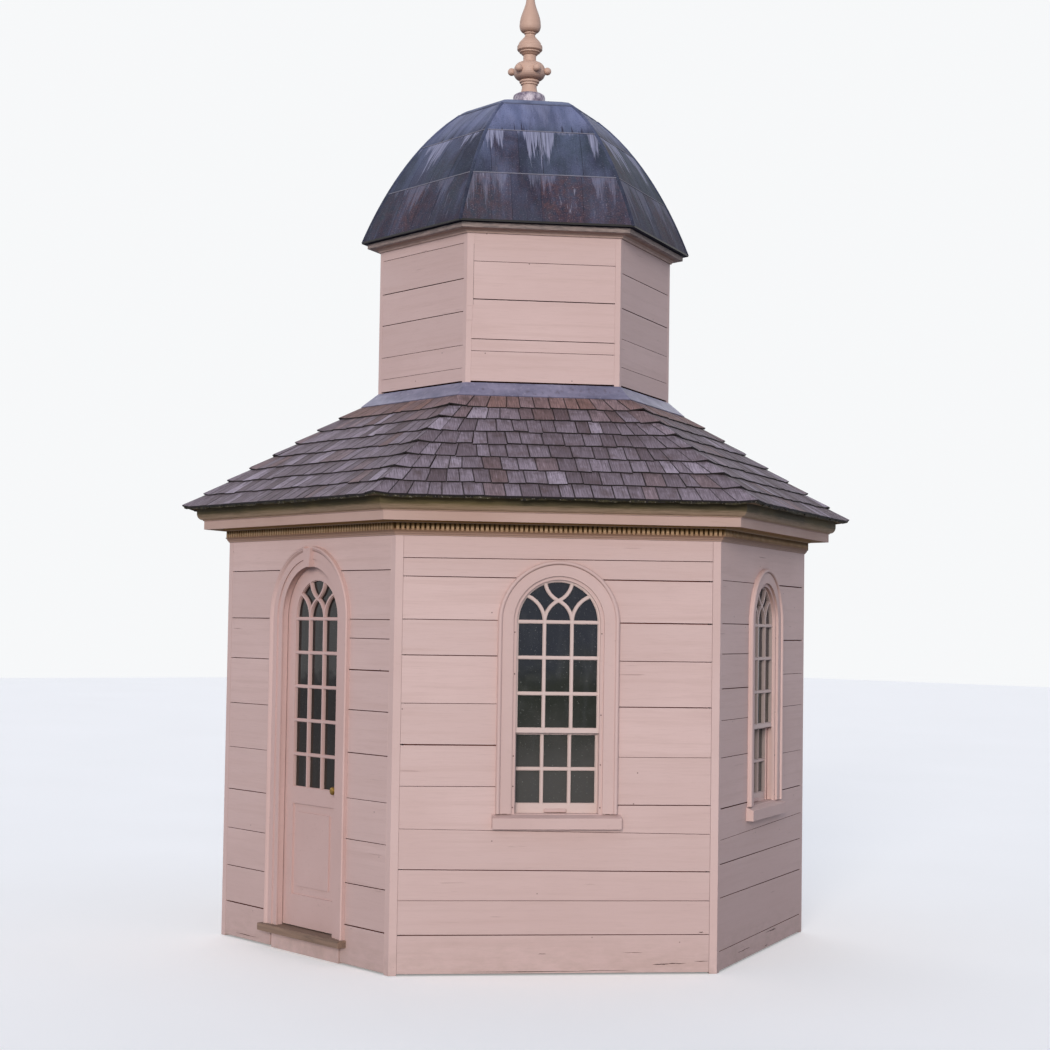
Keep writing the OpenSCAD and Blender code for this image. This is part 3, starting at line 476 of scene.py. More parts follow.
def copper_mat():
    """Dark sheet copper: slate, lighter and bluer near the top as painted reflection of the sky,
    red-brown and speckled low down, with pale runs below the seams, painted highlights along the
    seams and painted shade on the sheets' edge faces. Each sheet has its own tone, warmth,
    strength of the runs and of the dark drips at its foot, and reach of the runs (long)."""
    m = Mat("dark_copper", 0.6, 0.0, 0.03)
    uv = m.uv()
    z = m.xyz()[2]
    below, above = m.attr("below"), m.attr("above")
    big = m.noise(m.mapped(uv, (1.6, 1.1, 1)), 2.0, 5, 0.6)
    soft = m.noise(m.mapped(uv, (9, 2.2, 1), (2, 5, 0)), 1.0, 5, 0.62)
    spot = m.noise(m.mapped(uv, (24, 20, 1)), 1.0, 6, 0.75)
    grit = m.noise(m.mapped(uv, (130, 110, 1)), 1.0, 3, 0.6)
    # Painted reflection of the sky: lighter and bluer towards the top
    c = m.mix(m.ramp(z, DOME_Z + 0.1, DOME_Z + DOME_H), lin(78, 77, 91), lin(128, 138, 174))
    # Darker and bluer by each sheet's tone, set higher on the side gores as painted shade and
    # painted reflection
    c = m.mix(m.ramp(m.attr("tone"), 0, 1, 0, 0.85), c, lin(50, 57, 76))
    c = m.mix(m.ramp(big, 0.40, 0.62, 0, 0.80), c, lin(46, 46, 60))
    c = m.mix(m.ramp(soft, 0.52, 0.72, 0, 0.55), c, lin(98, 104, 130))
    teal = m.noise(m.mapped(uv, (3.4, 2.0, 1), (7, 1, 0)), 1.0, 5, 0.62)
    c = m.mix(m.ramp(teal, 0.46, 0.62, 0, 0.60), c, lin(62, 72, 80))
    brown = m.noise(m.mapped(uv, (30, 2.5, 1), (1, 8, 0)), 1.0, 4, 0.65)
    c = m.mix(m.ramp(brown, 0.54, 0.72, 0, 0.45), c, lin(50, 42, 48))
    # More painted reflection of the sky above the high seam
    high = m.ramp(z, SEAM_HIGH - 0.02, SEAM_HIGH + 0.10, 0, 0.55)
    c = m.mix(high, c, m.mix(m.ramp(soft, 0.40, 0.60), lin(98, 104, 136), lin(138, 142, 176)))
    red = m.times(m.attr("warm"), m.ramp(spot, 0.38, 0.60), m.ramp(big, 0.30, 0.55, 0.35, 1),
                  m.ramp(grit, 0.34, 0.52, 0.35, 1))
    c = m.mix(m.ramp(red, 0, 1, 0, 0.85), c, lin(98, 72, 74))
    c = m.mix(m.times(m.attr("warm"), m.ramp(grit, 0.60, 0.68), 0.55), c, lin(150, 128, 136))
    c = m.mix(m.ramp(grit, 0.60, 0.70, 0, 0.42), c, lin(138, 138, 152))
    c = m.mix(m.ramp(grit, 0.44, 0.30, 0, 0.55), c, lin(44, 44, 54))
    fringe = m.noise(m.mapped(uv, (13, 0.4, 1), (9, 0, 0)), 1.0, 6, 0.80)
    where = m.noise(m.mapped(uv, (3.1, 0.1, 1), (4, 3, 0)), 1.0, 2)
    reach = m.times(m.ramp(fringe, 0.40, 0.80, 0, 0.66), m.ramp(where, 0.44, 0.58, 0.08, 1.0),
                    m.attr("long"))
    run = m.ramp(m.math("SUBTRACT", reach, below), 0.0, 0.035)
    wash = m.ramp(m.noise(m.mapped(uv, (95, 3.5, 1)), 1.0, 4, 0.6), 0.36, 0.56, 0.30, 0.88)
    c = m.mix(m.times(run, wash, m.attr("run")), c, lin(156, 156, 180))
    tears = m.noise(m.mapped(uv, (24, 4.0, 1), (6, 6, 0)), 1.0, 4, 0.6)
    c = m.mix(m.times(m.ramp(tears, 0.63, 0.69, 0, 0.65), m.attr("warm")), c, lin(156, 154, 172))
    drip = m.noise(m.mapped(uv, (30, 0.5, 1), (4, 2, 0)), 1.0, 3, 0.7)
    drip = m.math("SUBTRACT", m.ramp(drip, 0.54, 0.74, 0, 0.17), above)
    c = m.mix(m.times(m.ramp(drip, 0.0, 0.02), m.attr("drip"), 0.75), c, lin(48, 42, 56))
    # Painted highlight: the sheets lighter near their top and bottom edges, along the seams
    edge = m.ramp(m.math("MINIMUM", below, above), 0.009, 0.003, 0, 0.60)
    c = m.mix(edge, c, lin(158, 154, 164))
    # Painted shade: the sheets' edge faces at the laps near black, the hip rolls a little darker
    c = m.mix(m.attr("butt"), c, lin(26, 24, 32))
    m.color(c)
    m.rough(m.ramp(spot, 0.3, 0.7, 0.44, 0.64))
    m.bump(m.math("ADD", big, m.times(spot, 0.12)), 0.010, 0.45)
    return m.m


def shell_mat():
    """The dark metal seen in the seams between the sheets, on the cap and inside, lighter and
    bluer at the cap as painted reflection of the sky.
    """
    m = Mat("dark_shell", 0.7, 0.0, 0.12)
    co = m.coord()
    f = m.noise(co, 5.0, 6, 0.65)
    low = m.mix(m.ramp(f, 0.35, 0.65), lin(40, 38, 48), lin(58, 56, 70))
    # Painted reflection of the sky: the cap lighter and bluer
    high = m.mix(m.ramp(f, 0.35, 0.65), lin(88, 94, 118), lin(126, 134, 162))
    top = DOME_Z + DOME_H
    m.color(m.mix(m.ramp(m.xyz()[2], top - 0.030, top + 0.006), low, high))
    m.bump(m.noise(co, 9.0, 4), 0.004, 0.5)
    return m.m


def collar_mat():
    """Grey metal collar, mottled white with dark stains."""
    m = Mat("weathered_collar", 0.6, 0.15)
    co = m.coord()
    f = m.noise(m.mapped(co, (1, 1, 0.6)), 26.0, 6, 0.7, 0.4)
    s = m.noise(m.mapped(co, (1, 1, 0.35)), 42.0, 5, 0.7)
    c = m.mix(m.ramp(f, 0.40, 0.60), lin(118, 104, 122), lin(204, 192, 200))
    c = m.mix(m.ramp(s, 0.52, 0.66, 0, 0.8), c, lin(88, 76, 94))
    m.color(c)
    m.bump(f, 0.002, 0.5)
    return m.m


def glass_mat(name, low, middle, high, across):
    """Old dusty glass with smears of scale across; its three tones from the bottom to the head are
    painted reflection and painted shade of the room behind.
    """
    m = Mat(name, 0.05, 0.0, 0.30)
    m.b.inputs["Transmission Weight"].default_value = 0.40
    m.b.inputs["IOR"].default_value = 1.45
    co = m.coord()
    z = m.xyz()[2]
    cloud = m.ramp(m.noise(co, 3.0, 4, 0.6), 0.3, 0.7, -0.12, 0.12)
    # Painted reflection and shade: three tones from the bottom to the head
    height = m.math("ADD", z, cloud)
    c = m.mix(m.ramp(height, 1.20, 1.60), lin(*low), lin(*middle))
    c = m.mix(m.ramp(height, 1.72, 2.00), c, lin(*high))
    smear = m.noise(m.mapped(co, (across, across, 2.2)), 1.6, 5, 0.65, 0.5)
    c = m.mix(m.ramp(smear, 0.54, 0.74, 0, 0.40), c, lin(92, 94, 96))
    dust = m.noise(co, 120.0, 3, 0.5)
    c = m.mix(m.ramp(dust, 0.66, 0.74, 0, 0.6), c, lin(176, 178, 172))
    m.color(c)
    m.bump(m.noise(co, 4.0, 2), 0.006, 0.3)
    return m.m


mat_lead = lead_mat()
mat_copper = copper_mat()
mat_shell = shell_mat()
mat_collar = collar_mat()
# The glass tones are painted reflection, and darker and warmer in the door as painted shade of the
# room behind
mat_glass = glass_mat("old_glass", (94, 92, 88), (50, 53, 44), (38, 43, 56), 9)
mat_door_glass = glass_mat("door_glass", (54, 46, 39), (40, 33, 28), (33, 27, 25), 24)


def place(name, data):
    """A new object in the scene."""
    ob = bpy.data.objects.new(name, data)
    bpy.context.scene.collection.objects.link(ob)
    return ob


class Build:
    """Collects vertices, faces, a flat map in metres and named values for one piece."""

    def __init__(self):
        self.v, self.f, self.uv, self.at = [], [], [], {}

    def verts(self, pts, uvs, **at):
        """Add vertices, with one value or a list of values for each name; returns the first."""
        i = len(self.v)
        self.v += [tuple(p) for p in pts]
        self.uv += uvs
        for k in sorted(set(at) | set(self.at)):
            self.at.setdefault(k, [0.0] * i)
            v = at.get(k, 0.0)
            self.at[k] += list(v) if isinstance(v, (list, tuple)) else [v] * len(pts)
        return i

    def prism(self, k, ring, d0, d1, apo=APO, **at):
        """A solid on wall k from an outline in u and z, counter-clockwise from outside."""
        n = len(ring)
        flat = [(u + 3 * k, z) for u, z in ring]
        i = self.verts([on_face(k, u, d0, z, apo) for u, z in ring], flat, **at)
        self.verts([on_face(k, u, d1, z, apo) for u, z in ring], flat, **at)
        self.f.append(tuple(range(i, i + n)))
        self.f.append(tuple(range(i + 2 * n - 1, i + n - 1, -1)))
        for j in range(n):
            q = (j + 1) % n
            self.f.append((i + j, i + n + j, i + n + q, i + q))

    def block(self, k, u0, u1, z0, z1, d0, d1, apo=APO, **at):
        """A prism whose outline is a rectangle."""
        self.prism(k, [(u0, z0), (u1, z0), (u1, z1), (u0, z1)], d0, d1, apo, **at)

    def grid(self, i, rows, cols):
        """Faces over a grid of vertices that starts at i and runs row by row."""
        for r in range(rows - 1):
            for c in range(cols - 1):
                p = i + r * cols + c
                self.f.append((p, p + 1, p + cols + 1, p + cols))

    def make(self, name, mat, slot, body="house", replaces=(), bevel=0.0, smooth=False):
        """The finished piece, attached to its body, with the CAD nodes that it replaces hidden."""
        me = bpy.data.meshes.new(name)
        me.from_pydata(self.v, [], self.f)
        me.validate()
        flat = me.uv_layers.new(name="uv")
        for lo in me.loops:
            flat.data[lo.index].uv = self.uv[lo.vertex_index]
        for k, vals in self.at.items():
            me.attributes.new(k, "FLOAT", "POINT").data.foreach_set("value", vals)
        ob = place(name, me)
        me.materials.append(mat)
        if bevel:
            b = ob.modifiers.new("bevel", "BEVEL")
            b.width, b.segments = bevel, 1
            b.limit_method, b.angle_limit = "ANGLE", math.radians(40)
        if smooth:
            for p in me.polygons:
                p.use_smooth = True
        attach(ob, body)
        if replaces:
            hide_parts(*replaces)


def joint(zl, zr, open_by=1.0):
    """A joint across a wall: its heights at the left and right corner and half its gap there."""
    g = random.choice((0.0015, 0.0022, 0.0029)) * open_by
    return zl, zr, g * random.uniform(0.5, 1.3), g * random.uniform(0.5, 1.3)


def shut(z):
    """A level joint without a gap."""
    return z, z, 0.0, 0.0


def level(zs, open_by=1.0):
    """Joints at the given heights, each off level by a few millimetres."""
    def near(z):
        return z + random.uniform(-0.003, 0.003)

    return [joint(near(z), near(z), open_by) for z in zs]


def height(j, u, side=0):
    """Height of a joint at u; side 1 is the foot of the board above it, -1 the top of the one
    below."""
    f = u / SIDE + 0.5
    return j[0] + (j[1] - j[0]) * f + side * (j[2] + (j[3] - j[2]) * f)


def edge(j, u, side):
    """The corner of a board at joint j and u."""
    return u, height(j, u, side)


class Wall:
    """One layer of boards on wall k, over a span and between two depths, cut round an arched hole
    of half width r centred on cu that starts at z0. Each board is set back by up to wave."""

    def __init__(self, k, span, depths, r, cu, z0, wave=0.0):
        self.build = Build()
        self.k, self.span, self.depths, self.wave = k, span, depths, wave
        self.r, self.cu, self.z0 = r, cu, z0

    def hole(self, z):
        """Half width of the hole at height z."""
        if z < self.z0:
            return 0.0
        if z <= SPRING:
            return self.r
        return math.sqrt(max(0.0, self.r ** 2 - (z - SPRING) ** 2))

    def add(self, ring):
        d0, d1 = self.depths
        d0 += random.uniform(0, self.wave)
        self.build.prism(self.k, ring, d0, d1, tone=random.random())

    def whole(self, lo, hi):
        """A board from one end of the wall to the other."""
        ul, ur = self.span
        self.add([edge(lo, ul, 1), edge(lo, ur, 1), edge(hi, ur, -1), edge(hi, ul, -1)])

    def sill_board(self, lo, left, right):
        """The board below the window, notched for its opening."""
        ul, ur = self.span
        a, b = self.cu - self.r, self.cu + self.r
        self.add([edge(lo, ul, 1), edge(lo, ur, 1), edge(right, ur, -1), edge(right, b, -1),
                  (b, self.z0), (a, self.z0), edge(left, a, -1), edge(left, ul, -1)])

    def half(self, s, lo, hi):
        """A board beside the hole, on its left where s is -1 and on its right where s is 1."""
        end = self.span[0] if s < 0 else self.span[1]
        za = height(lo, self.cu + s * self.hole(height(lo, self.cu)), 1)
        zb = height(hi, self.cu + s * self.hole(height(hi, self.cu)), -1)
        steps = 1 if zb <= SPRING else 12
        zs = {za + (zb - za) * i / steps for i in range(steps + 1)}
        if za < SPRING < zb:
            zs.add(SPRING)
        inner = [(self.cu + s * self.hole(z), z) for z in sorted(zs)]
        low, high = edge(lo, end, 1), edge(hi, end, -1)
        self.add([low, high] + inner[::-1] if s > 0 else [high, low] + inner)

    def crown_board(self, left, right, hi):
        """The board over the crown of the arch, cut round it."""
        ul, ur = self.span
        zl, zr = height(left, self.cu - self.r, 1), height(right, self.cu + self.r, 1)
        tl = math.asin(min(1, (zl - SPRING) / self.r))
        tr = math.asin(min(1, (zr - SPRING) / self.r))
        n = 16
        arc = []
        for i in range(n + 1):
            t = math.pi - tl + (tr + tl - math.pi) * i / n
            arc.append((self.cu + self.r * math.cos(t), SPRING + self.r * math.sin(t)))
        self.add([edge(left, ul, 1)] + arc
                 + [edge(right, ur, 1), edge(hi, ur, -1), edge(hi, ul, -1)])

    def fill(self, low, left, right, high):
        """Whole boards, the boards beside the hole, the crown board and whole boards above it."""
        for lo, hi in zip(low, low[1:]):
            self.whole(lo, hi)
        if self.z0 > 0:
            self.sill_board(low[-1], left[0], right[0])
        for lo, hi in zip(left, left[1:]):
            self.half(-1, lo, hi)
        for lo, hi in zip(right, right[1:]):
            self.half(1, lo, hi)
        self.crown_board(left[-1], right[-1], high[0])
        for lo, hi in zip(high, high[1:]):
            self.whole(lo, hi)


BOARD_WIDTHS, LEAST_WIDTH = (0.19, 0.31), 0.13


def heights(lo, hi):
    """Heights of the joints between boards of random widths, from lo to hi."""
    out, z = [lo], lo
    while z < hi - 0.3:
        z += random.uniform(*BOARD_WIDTHS)
        out.append(z)
    if hi - out[-1] < LEAST_WIDTH:
        out.pop()
    return out + [hi]


# The three layers of a wall: half its length and its depths behind the outer plane
BOARD_SPAN = (CORNER + 0.0012 - SIDE / 2, SIDE / 2 - CORNER - 0.0012)
CORE_SPAN, LINING_SPAN = (-0.927, 0.927), (-0.9275, 0.9275)
BOARDS, CORE, LINING = (0.0, 0.018), (0.0185, 0.1065), (0.107, 0.125)
WINDOW_CUT, DOOR_CUT = 0.33, 0.42  # half widths of the holes in the boards, behind the casings
WAVE = 0.0010
SOFT_EDGE = 0.0012
# Wall 2, whose boards run over the corner posts, 1 mm proud
OVER_SPANS = {2: (-0.9995, 0.976)}
OVER = (-0.001, 0.018)

FOOT, TOP = shut(0.010), shut(PLATE)
LOW_LINING = [0.36, 0.61]
LINING_JOINTS = [0.872 + 0.2035 * i for i in range(8)]
# Measured joints: below the window, to its left, to its right and above it. A pair gives the
# heights at both corners.
MEASURED = {
    1: ([(0.240, 0.236), (0.445, 0.439), (0.630, 0.614), (0.872, 0.841)],
        [1.128, 1.371, 1.622, 1.911, 2.127, 2.383],
        [1.018, 1.308, 1.611, 1.890, 2.121, 2.381],
        [(2.495, 2.505)]),
    2: ([(0.126, 0.127), (0.450, 0.436), (0.654, 0.650), (0.800, 0.828)],
        [0.993, 1.302, 1.532, 1.724, 1.937, 2.126, 2.390],
        [1.015, 1.263, 1.578, 1.793, 2.024, 2.392],
        []),
}


BELOW, ABOVE = 0.84, 2.38  # joints below a hidden window and over the spring of its arch


def hidden_joints(k):
    """Random joints for a wall that the photograph doesn't show."""
    low = [(z, z + random.uniform(-0.015, 0.015)) for z in heights(0.0, BELOW)[1:]]
    left, right = heights(BELOW, ABOVE)[1:], heights(BELOW, ABOVE)[1:]
    return low, left, right, [(2.50, 2.50)] if k == 4 else []


for k in range(1, 6):
    low, left, right, high = MEASURED.get(k) or hidden_joints(k)
    wall = Wall(k, OVER_SPANS.get(k, BOARD_SPAN), OVER if k in OVER_SPANS else BOARDS,
                WINDOW_CUT, 0.0, SILL_BOTTOM + 0.006, WAVE)
    wall.fill([FOOT] + [joint(*z) for z in low], level(left), level(right),
              [joint(*z) for z in high] + [TOP])
    wall.build.make("wall_%d_boards" % k, mat_board, "painted_boards",
                    replaces=["window_wall_%d" % k], bevel=SOFT_EDGE)
    wall = Wall(k, CORE_SPAN, CORE, WINDOW_HOLE, 0.0, SILL_BOTTOM)
    wall.fill([FOOT, shut(0.5)], [shut(2.2)], [shut(2.2)], [TOP])
    wall.build.make("wall_%d_core" % k, mat_core, "painted_boards")
    wall = Wall(k, LINING_SPAN, LINING, WINDOW_HOLE, 0.0, SILL_BOTTOM)
    beside = level(LINING_JOINTS[1:], 0.5)
    wall.fill([FOOT] + level(LOW_LINING, 0.5), beside, beside, [TOP])
    wall.build.make("wall_%d_lining" % k, mat_lining, "painted_boards", bevel=0.002)

# The doorway wall, its joints beside the door measured where they show
DOOR_LEFT = [0.23, 0.47, 0.72, 0.98, 1.259, 1.552, 1.856, 2.124, 2.435]
DOOR_RIGHT = [0.25, 0.50, 0.77, 1.02, 1.30, 1.565, 1.811, 2.005, 2.121, 2.423]
wall = Wall(0, BOARD_SPAN, BOARDS, DOOR_CUT, DOOR_SHIFT, 0.0, WAVE)
wall.fill([], [FOOT] + level(DOOR_LEFT), [FOOT] + level(DOOR_RIGHT), [TOP])
wall.build.make("door_wall_boards", mat_board, "painted_boards",
                replaces=["door_pier_left", "door_pier_right", "door_head"], bevel=SOFT_EDGE)
wall = Wall(0, CORE_SPAN, CORE, DOOR_HOLE, DOOR_SHIFT, 0.0)
wall.fill([], [FOOT, shut(2.2)], [FOOT, shut(2.2)], [TOP])
wall.build.make("door_wall_core", mat_core, "painted_boards")
wall = Wall(0, LINING_SPAN, LINING, DOOR_HOLE, DOOR_SHIFT, 0.0)
beside = [FOOT] + level(LOW_LINING + LINING_JOINTS, 0.5)
wall.fill([], beside, beside, [TOP])
wall.build.make("door_wall_lining", mat_lining, "painted_boards", bevel=0.002)

# Drum boards, with a gap above the lead where the dark core shows as painted shade. A joint's
# second number says how far it gapes.
DRUM_JOINTS = {
    0: [(3.763, 0.8), (3.912, 1.1), (4.133, 1.7), (4.348, 2.1), (4.581, 1.1)],
    1: [(3.874, 1.0), (3.952, 1.7), (4.212, 2.3), (4.460, 1.0)],
    2: [(3.800, 1.0), (3.987, 0.9), (4.189, 2.1), (4.419, 1.6)],
}
DRUM_HALF = DRUM_SIDE / 2 - 0.035
DRUM_CORE_HALF = 0.466
LEAD_GAP = 0.027
for k in range(6):
    joints = DRUM_JOINTS.get(k) or [(z, random.choice((1.0, 1.5, 2.1)))
                                    for z in heights(DRUM_FOOT, DRUM_TOP)[1:-1]]
    gaps = [0.0] + [0.0012 * g for z, g in joints] + [0.0]
    zs = [DRUM_FOOT + LEAD_GAP] + [z for z, g in joints] + [DRUM_TOP]
    boards = Build()
    for i in range(len(zs) - 1):
        boards.block(k, -DRUM_HALF, DRUM_HALF, zs[i] + gaps[i], zs[i + 1] - gaps[i + 1],
                     random.uniform(0, 0.001), 0.018, DRUM_A, tone=random.random())
    boards.make("drum_%d_boards" % k, mat_board, "painted_boards",
                replaces=["drum_walls"] if k == 0 else (), bevel=SOFT_EDGE)
    # The core behind the boards is dark: painted shade in the gaps
    core = Build()
    core.block(k, -DRUM_CORE_HALF, DRUM_CORE_HALF, DRUM_FOOT - 0.08, DRUM_TOP,
               0.0185, 0.070, DRUM_A)
    core.make("drum_%d_core" % k, mat_dark, "painted_boards")

# The strip at the drum's left front corner, its two steps halfway down, and its thin shadow
STRIP_STEP, STRIP_END, STRIP_SHADOW = 4.167, 4.072, (4.175, 4.575)
strip = Build()
for over, z0, z1 in ((0.0080, STRIP_STEP, DRUM_TOP), (0.0040, STRIP_END, STRIP_STEP)):
    strip.block(1, 0.002 - DRUM_SIDE / 2, over - DRUM_HALF, z0, z1, -0.0018, 0.001, DRUM_A)
strip.make("drum_strip", mat_post, "painted_boards", bevel=0.0006)


def near_hip(du, reach):
    """1 at a hip, falling smoothly to 0 at a distance of reach."""
    t = max(0.0, 1 - du / reach)
    return t * t * (3 - 2 * t)


HIP_RUN = CP * TAN30  # how far a hip moves sideways for each metre up the slope


def shingle(b, k, u0, u1, s0, s1, n0, n1, thick, tone, warm, skew=0.0, curl=(0.0, 0.0)):
    """A tapering shingle: butt at s0 with its top n0 up, tail at s1 with its top n1 up. Its sides
    lean towards the slope's hip, and its butt rises a little there."""
    half0 = half_slope(s0)
    across = (0.0, 0.06, 0.94, 1.0)
    cols = len(across)
    top, low, uv = [], [], []
    for row, (s, n, th) in enumerate(((s0, n0, thick), (s1, n1, 0.002))):
        for f in across:
            u = u0 + (u1 - u0) * f
            lean = near_hip(half0 - abs(u), 0.55)
            uu = u - math.copysign(HIP_RUN * lean * (s - s0), u)
            ss, nn = s, n
            if row == 0:
                lift = near_hip(half0 - abs(u), 0.12)
                ss += 0.012 * lift + skew * (f - 0.5)
                nn += 0.008 * lift + curl[0] * (1 - f) + curl[1] * f
            half = half_slope(ss)
            uu = max(-half, min(half, uu))
            top.append(slope(k, uu, ss, nn))
            low.append(slope(k, uu, ss, nn - th))
            uv.append((uu + k * 3 + s0 * 7, ss))
    # side is 1 at a shingle's edges, for the painted shade beside the gaps; up rises to its tail
    side, up = [1.0, 0.0, 0.0, 1.0] * 2, [0.0] * cols + [1.0] * cols
    i = b.verts(top, uv, tone=tone, warm=warm, butt=0.0, side=side, up=up)
    b.grid(i, 2, cols)
    # Butt, sides and underside get butt 1, for the painted shade
    i = b.verts(top, uv, tone=tone, warm=warm, butt=1.0)
    j = b.verts(low, uv, tone=tone, warm=warm, butt=1.0)
    last = cols - 1
    for c in range(last):
        b.f.append((j + c, j + cols + c, j + cols + c + 1, j + c + 1))
        b.f.append((i + c + 1, i + c, j + c, j + c + 1))
        b.f.append((i + cols + c, i + cols + c + 1, j + cols + c + 1, j + cols + c))
    b.f.append((i, i + cols, j + cols, j))
    b.f.append((i + last + cols, i + last, j + last, j + last + cols))


def course(s0, widths, least):
    """The left and right edge of each shingle of a course, from hip to hip."""
    half = half_slope(s0)
    u = -half
    while u < half - 1e-4:
        w = random.uniform(*widths)
        if half - (u + w) < least:
            w = half - u
        yield u, u + w
        u += w


def clamp(x, lo, hi):
    return max(lo, min(hi, x))


roof = Build()
for k in range(6):
    for row in range(8):
        s0 = row * COURSE
        for ua, ub in course(s0, (0.080, 0.140), 0.055):
            gap = random.uniform(0.0012, 0.0027)
            warm = clamp((row - 5.7) * 0.50 + random.uniform(-0.22, 0.22), 0.0, 0.95)
            if random.random() < 0.10:
                warm = max(warm, random.uniform(0.15, 0.40))
            if row == 0:
                s = s0 + random.uniform(0.0, 0.004)
            else:
                s = s0 + clamp(random.gauss(0, 0.0045), -0.010, 0.010)
            if random.random() < 0.06:
                tone = random.uniform(0.70, 1.0)
            else:
                tone = clamp(random.gauss(0.33, 0.15), 0.0, 1.0)
            curl = (random.uniform(0, 0.0028), random.uniform(0, 0.0028))
            thick = random.uniform(0.010, 0.014)
            skew = random.uniform(-0.009, 0.009) if row else 0.0
            shingle(roof, k, ua + gap, ub - gap, s, s0 + COURSE + 0.014, BUTT - 0.003, 0.0085,
                    thick, tone, warm, skew, curl)
roof.make("shingles", mat_shingle, "shingle", replaces=["shingle_courses"])

starter = Build()
for k in range(6):
    for ua, ub in course(0.0, (0.05, 0.11), 0.04):
        shingle(starter, k, ua + 0.001, ub - 0.001, random.uniform(0.003, 0.014), 0.07, 0.0055,
                0.004, random.uniform(0.012, 0.020), random.random() * 0.5, 0.2)
starter.make("starter_course", mat_starter, "shingle")

felt = Build()
for k in range(6):
    flat = [(sign * half_slope(s), s) for s in (0.05, 1.36) for sign in (-1, 1)]
    felt.grid(felt.verts([slope(k, u, s, 0.0015) for u, s in flat], flat), 2, 2)
felt.make("roof_felt", mat_dark, "shingle")

FAR = 0.2  # stands for below and above where a face lies at no seam


def sheet(b, k, u0, u1, z0, z1, tone, warm, run, drip, long):
    """One metal sheet of gore k, standing proud at its foot where it laps the sheet below."""
    rows, cols = 9, 7
    pts, uvs, below, above, where = [], [], [], [], {}
    for r in range(rows):
        z = z0 + (z1 - z0) * r / (rows - 1)
        off = 0.0040 - 0.0026 * r / (rows - 1)
        half = dome_half(z, off)[0] - 0.004
        ul, ur = max(u0, -half), min(u1, half)
        for c in range(cols):
            u = ul + (ur - ul) * c / (cols - 1)
            pts.append(on_dome(k, u, z, off))
            uvs.append((u + 3 * k, z))
            below.append(z1 - z)
            above.append(z - z0)
            where[r, c] = (u, z)
    i = b.verts(pts, uvs, tone=tone, warm=warm, run=run, drip=drip, long=long, below=below,
                above=above, butt=0.0)
    b.grid(i, rows, cols)
    rim = [(0, c) for c in range(cols)] + [(r, cols - 1) for r in range(1, rows)]
    rim += [(rows - 1, c) for c in range(cols - 2, -1, -1)]
    rim += [(r, 0) for r in range(rows - 2, 0, -1)]
    n = len(rim)
    flat = [(0, 0)] * n
    # The edge faces get butt 1, for the painted shade at the laps
    i = b.verts([pts[r * cols + c] for r, c in rim], flat, butt=1.0, below=FAR, above=FAR)
    j = b.verts([on_dome(k, *where[p], 0.0002) for p in rim], flat, butt=1.0, below=FAR,
                above=FAR)
    for a in range(n):
        e = (a + 1) % n
        b.f.append((i + a, j + a, j + e, i + e))


LAP = 0.012
TIERS = [(DOME_Z + 0.001, SEAM_LOW + LAP), (SEAM_LOW, SEAM_HIGH + LAP),
         (SEAM_HIGH, DOME_Z + DOME_H - 0.010)]
# Upright seams of the front gore, measured, tier by tier
FRONT_SEAMS = [[-0.227, -0.032, 0.242], [-0.350, -0.165, -0.009, 0.256], []]
# The looks of the tiers: lowest and highest warmth, strength of the runs and of the drips
WARMTH = ((0.15, 1.0), (-0.45, 0.55), (-0.3, 0.15))
RUNS = (0.32, 1.0, 0.25)
DRIPS = (0.3, 0.15, 1.0)
LONG = (0.8, 0.9, 1.9, 1.5, 1.1)  # how far the runs reach on the front gore's middle sheets
# Tone ranges for gores 0 to 2: the side gores darker and bluer than the front, as painted shade
# and painted reflection of the sky
TONES = {0: (0.50, 1.0), 1: (0.0, 0.59), 2: (0.60, 1.0)}
sheets = Build()
for k in range(6):
    for tier, (z0, z1) in enumerate(TIERS):
        if k == 1:
            cuts = FRONT_SEAMS[tier]
        elif tier == 2:
            cuts = [random.uniform(-0.05, 0.05)] if k % 2 else []
        else:
            cuts = [random.uniform(-0.26, -0.12), random.uniform(-0.04, 0.06),
                    random.uniform(0.14, 0.27)]
        us = [-1.0] + cuts + [1.0]
        for i, (ua, ub) in enumerate(zip(us, us[1:])):
            tone = random.uniform(*TONES.get(k, (0.0, 1.0)))
            warm = max(0.0, random.uniform(*WARMTH[tier]))
            sheet(sheets, k, ua + 0.0012, ub - 0.0012, z0, z1, tone, warm, RUNS[tier], DRIPS[tier],
                  LONG[i] if k == 1 and tier == 1 else 1.0)
sheets.make("dome_sheets", mat_copper, "dome_metal")

# The roll over each hip: on gore k or the next, its distance from the hip, how far it stands off
HIP_ROLL = ((0, 0.017, 0.0015), (0, 0.010, 0.008), (0, 0.0, 0.0095),
            (1, 0.010, 0.008), (1, 0.017, 0.0015))
ROLL_ROWS = 16
hips = Build()
for k in range(6):
    pts, uvs = [], []
    for r in range(ROLL_ROWS):
        z = DOME_Z + 0.002 + (DOME_H - 0.014) * r / (ROLL_ROWS - 1)
        for gore, inset, off in HIP_ROLL:
            u = dome_half(z, off)[0] - inset
            pts.append(on_dome(k + gore, -u if gore else u, z, off))
            uvs.append((inset + 5.0, z))
    # butt 0.12 darkens the rolls a little, as painted shade
    i = hips.verts(pts, uvs, tone=0.53, butt=0.12, below=FAR, above=FAR)
    hips.grid(i, ROLL_ROWS, len(HIP_ROLL))
hips.make("dome_hips", mat_copper, "dome_metal", smooth=True)

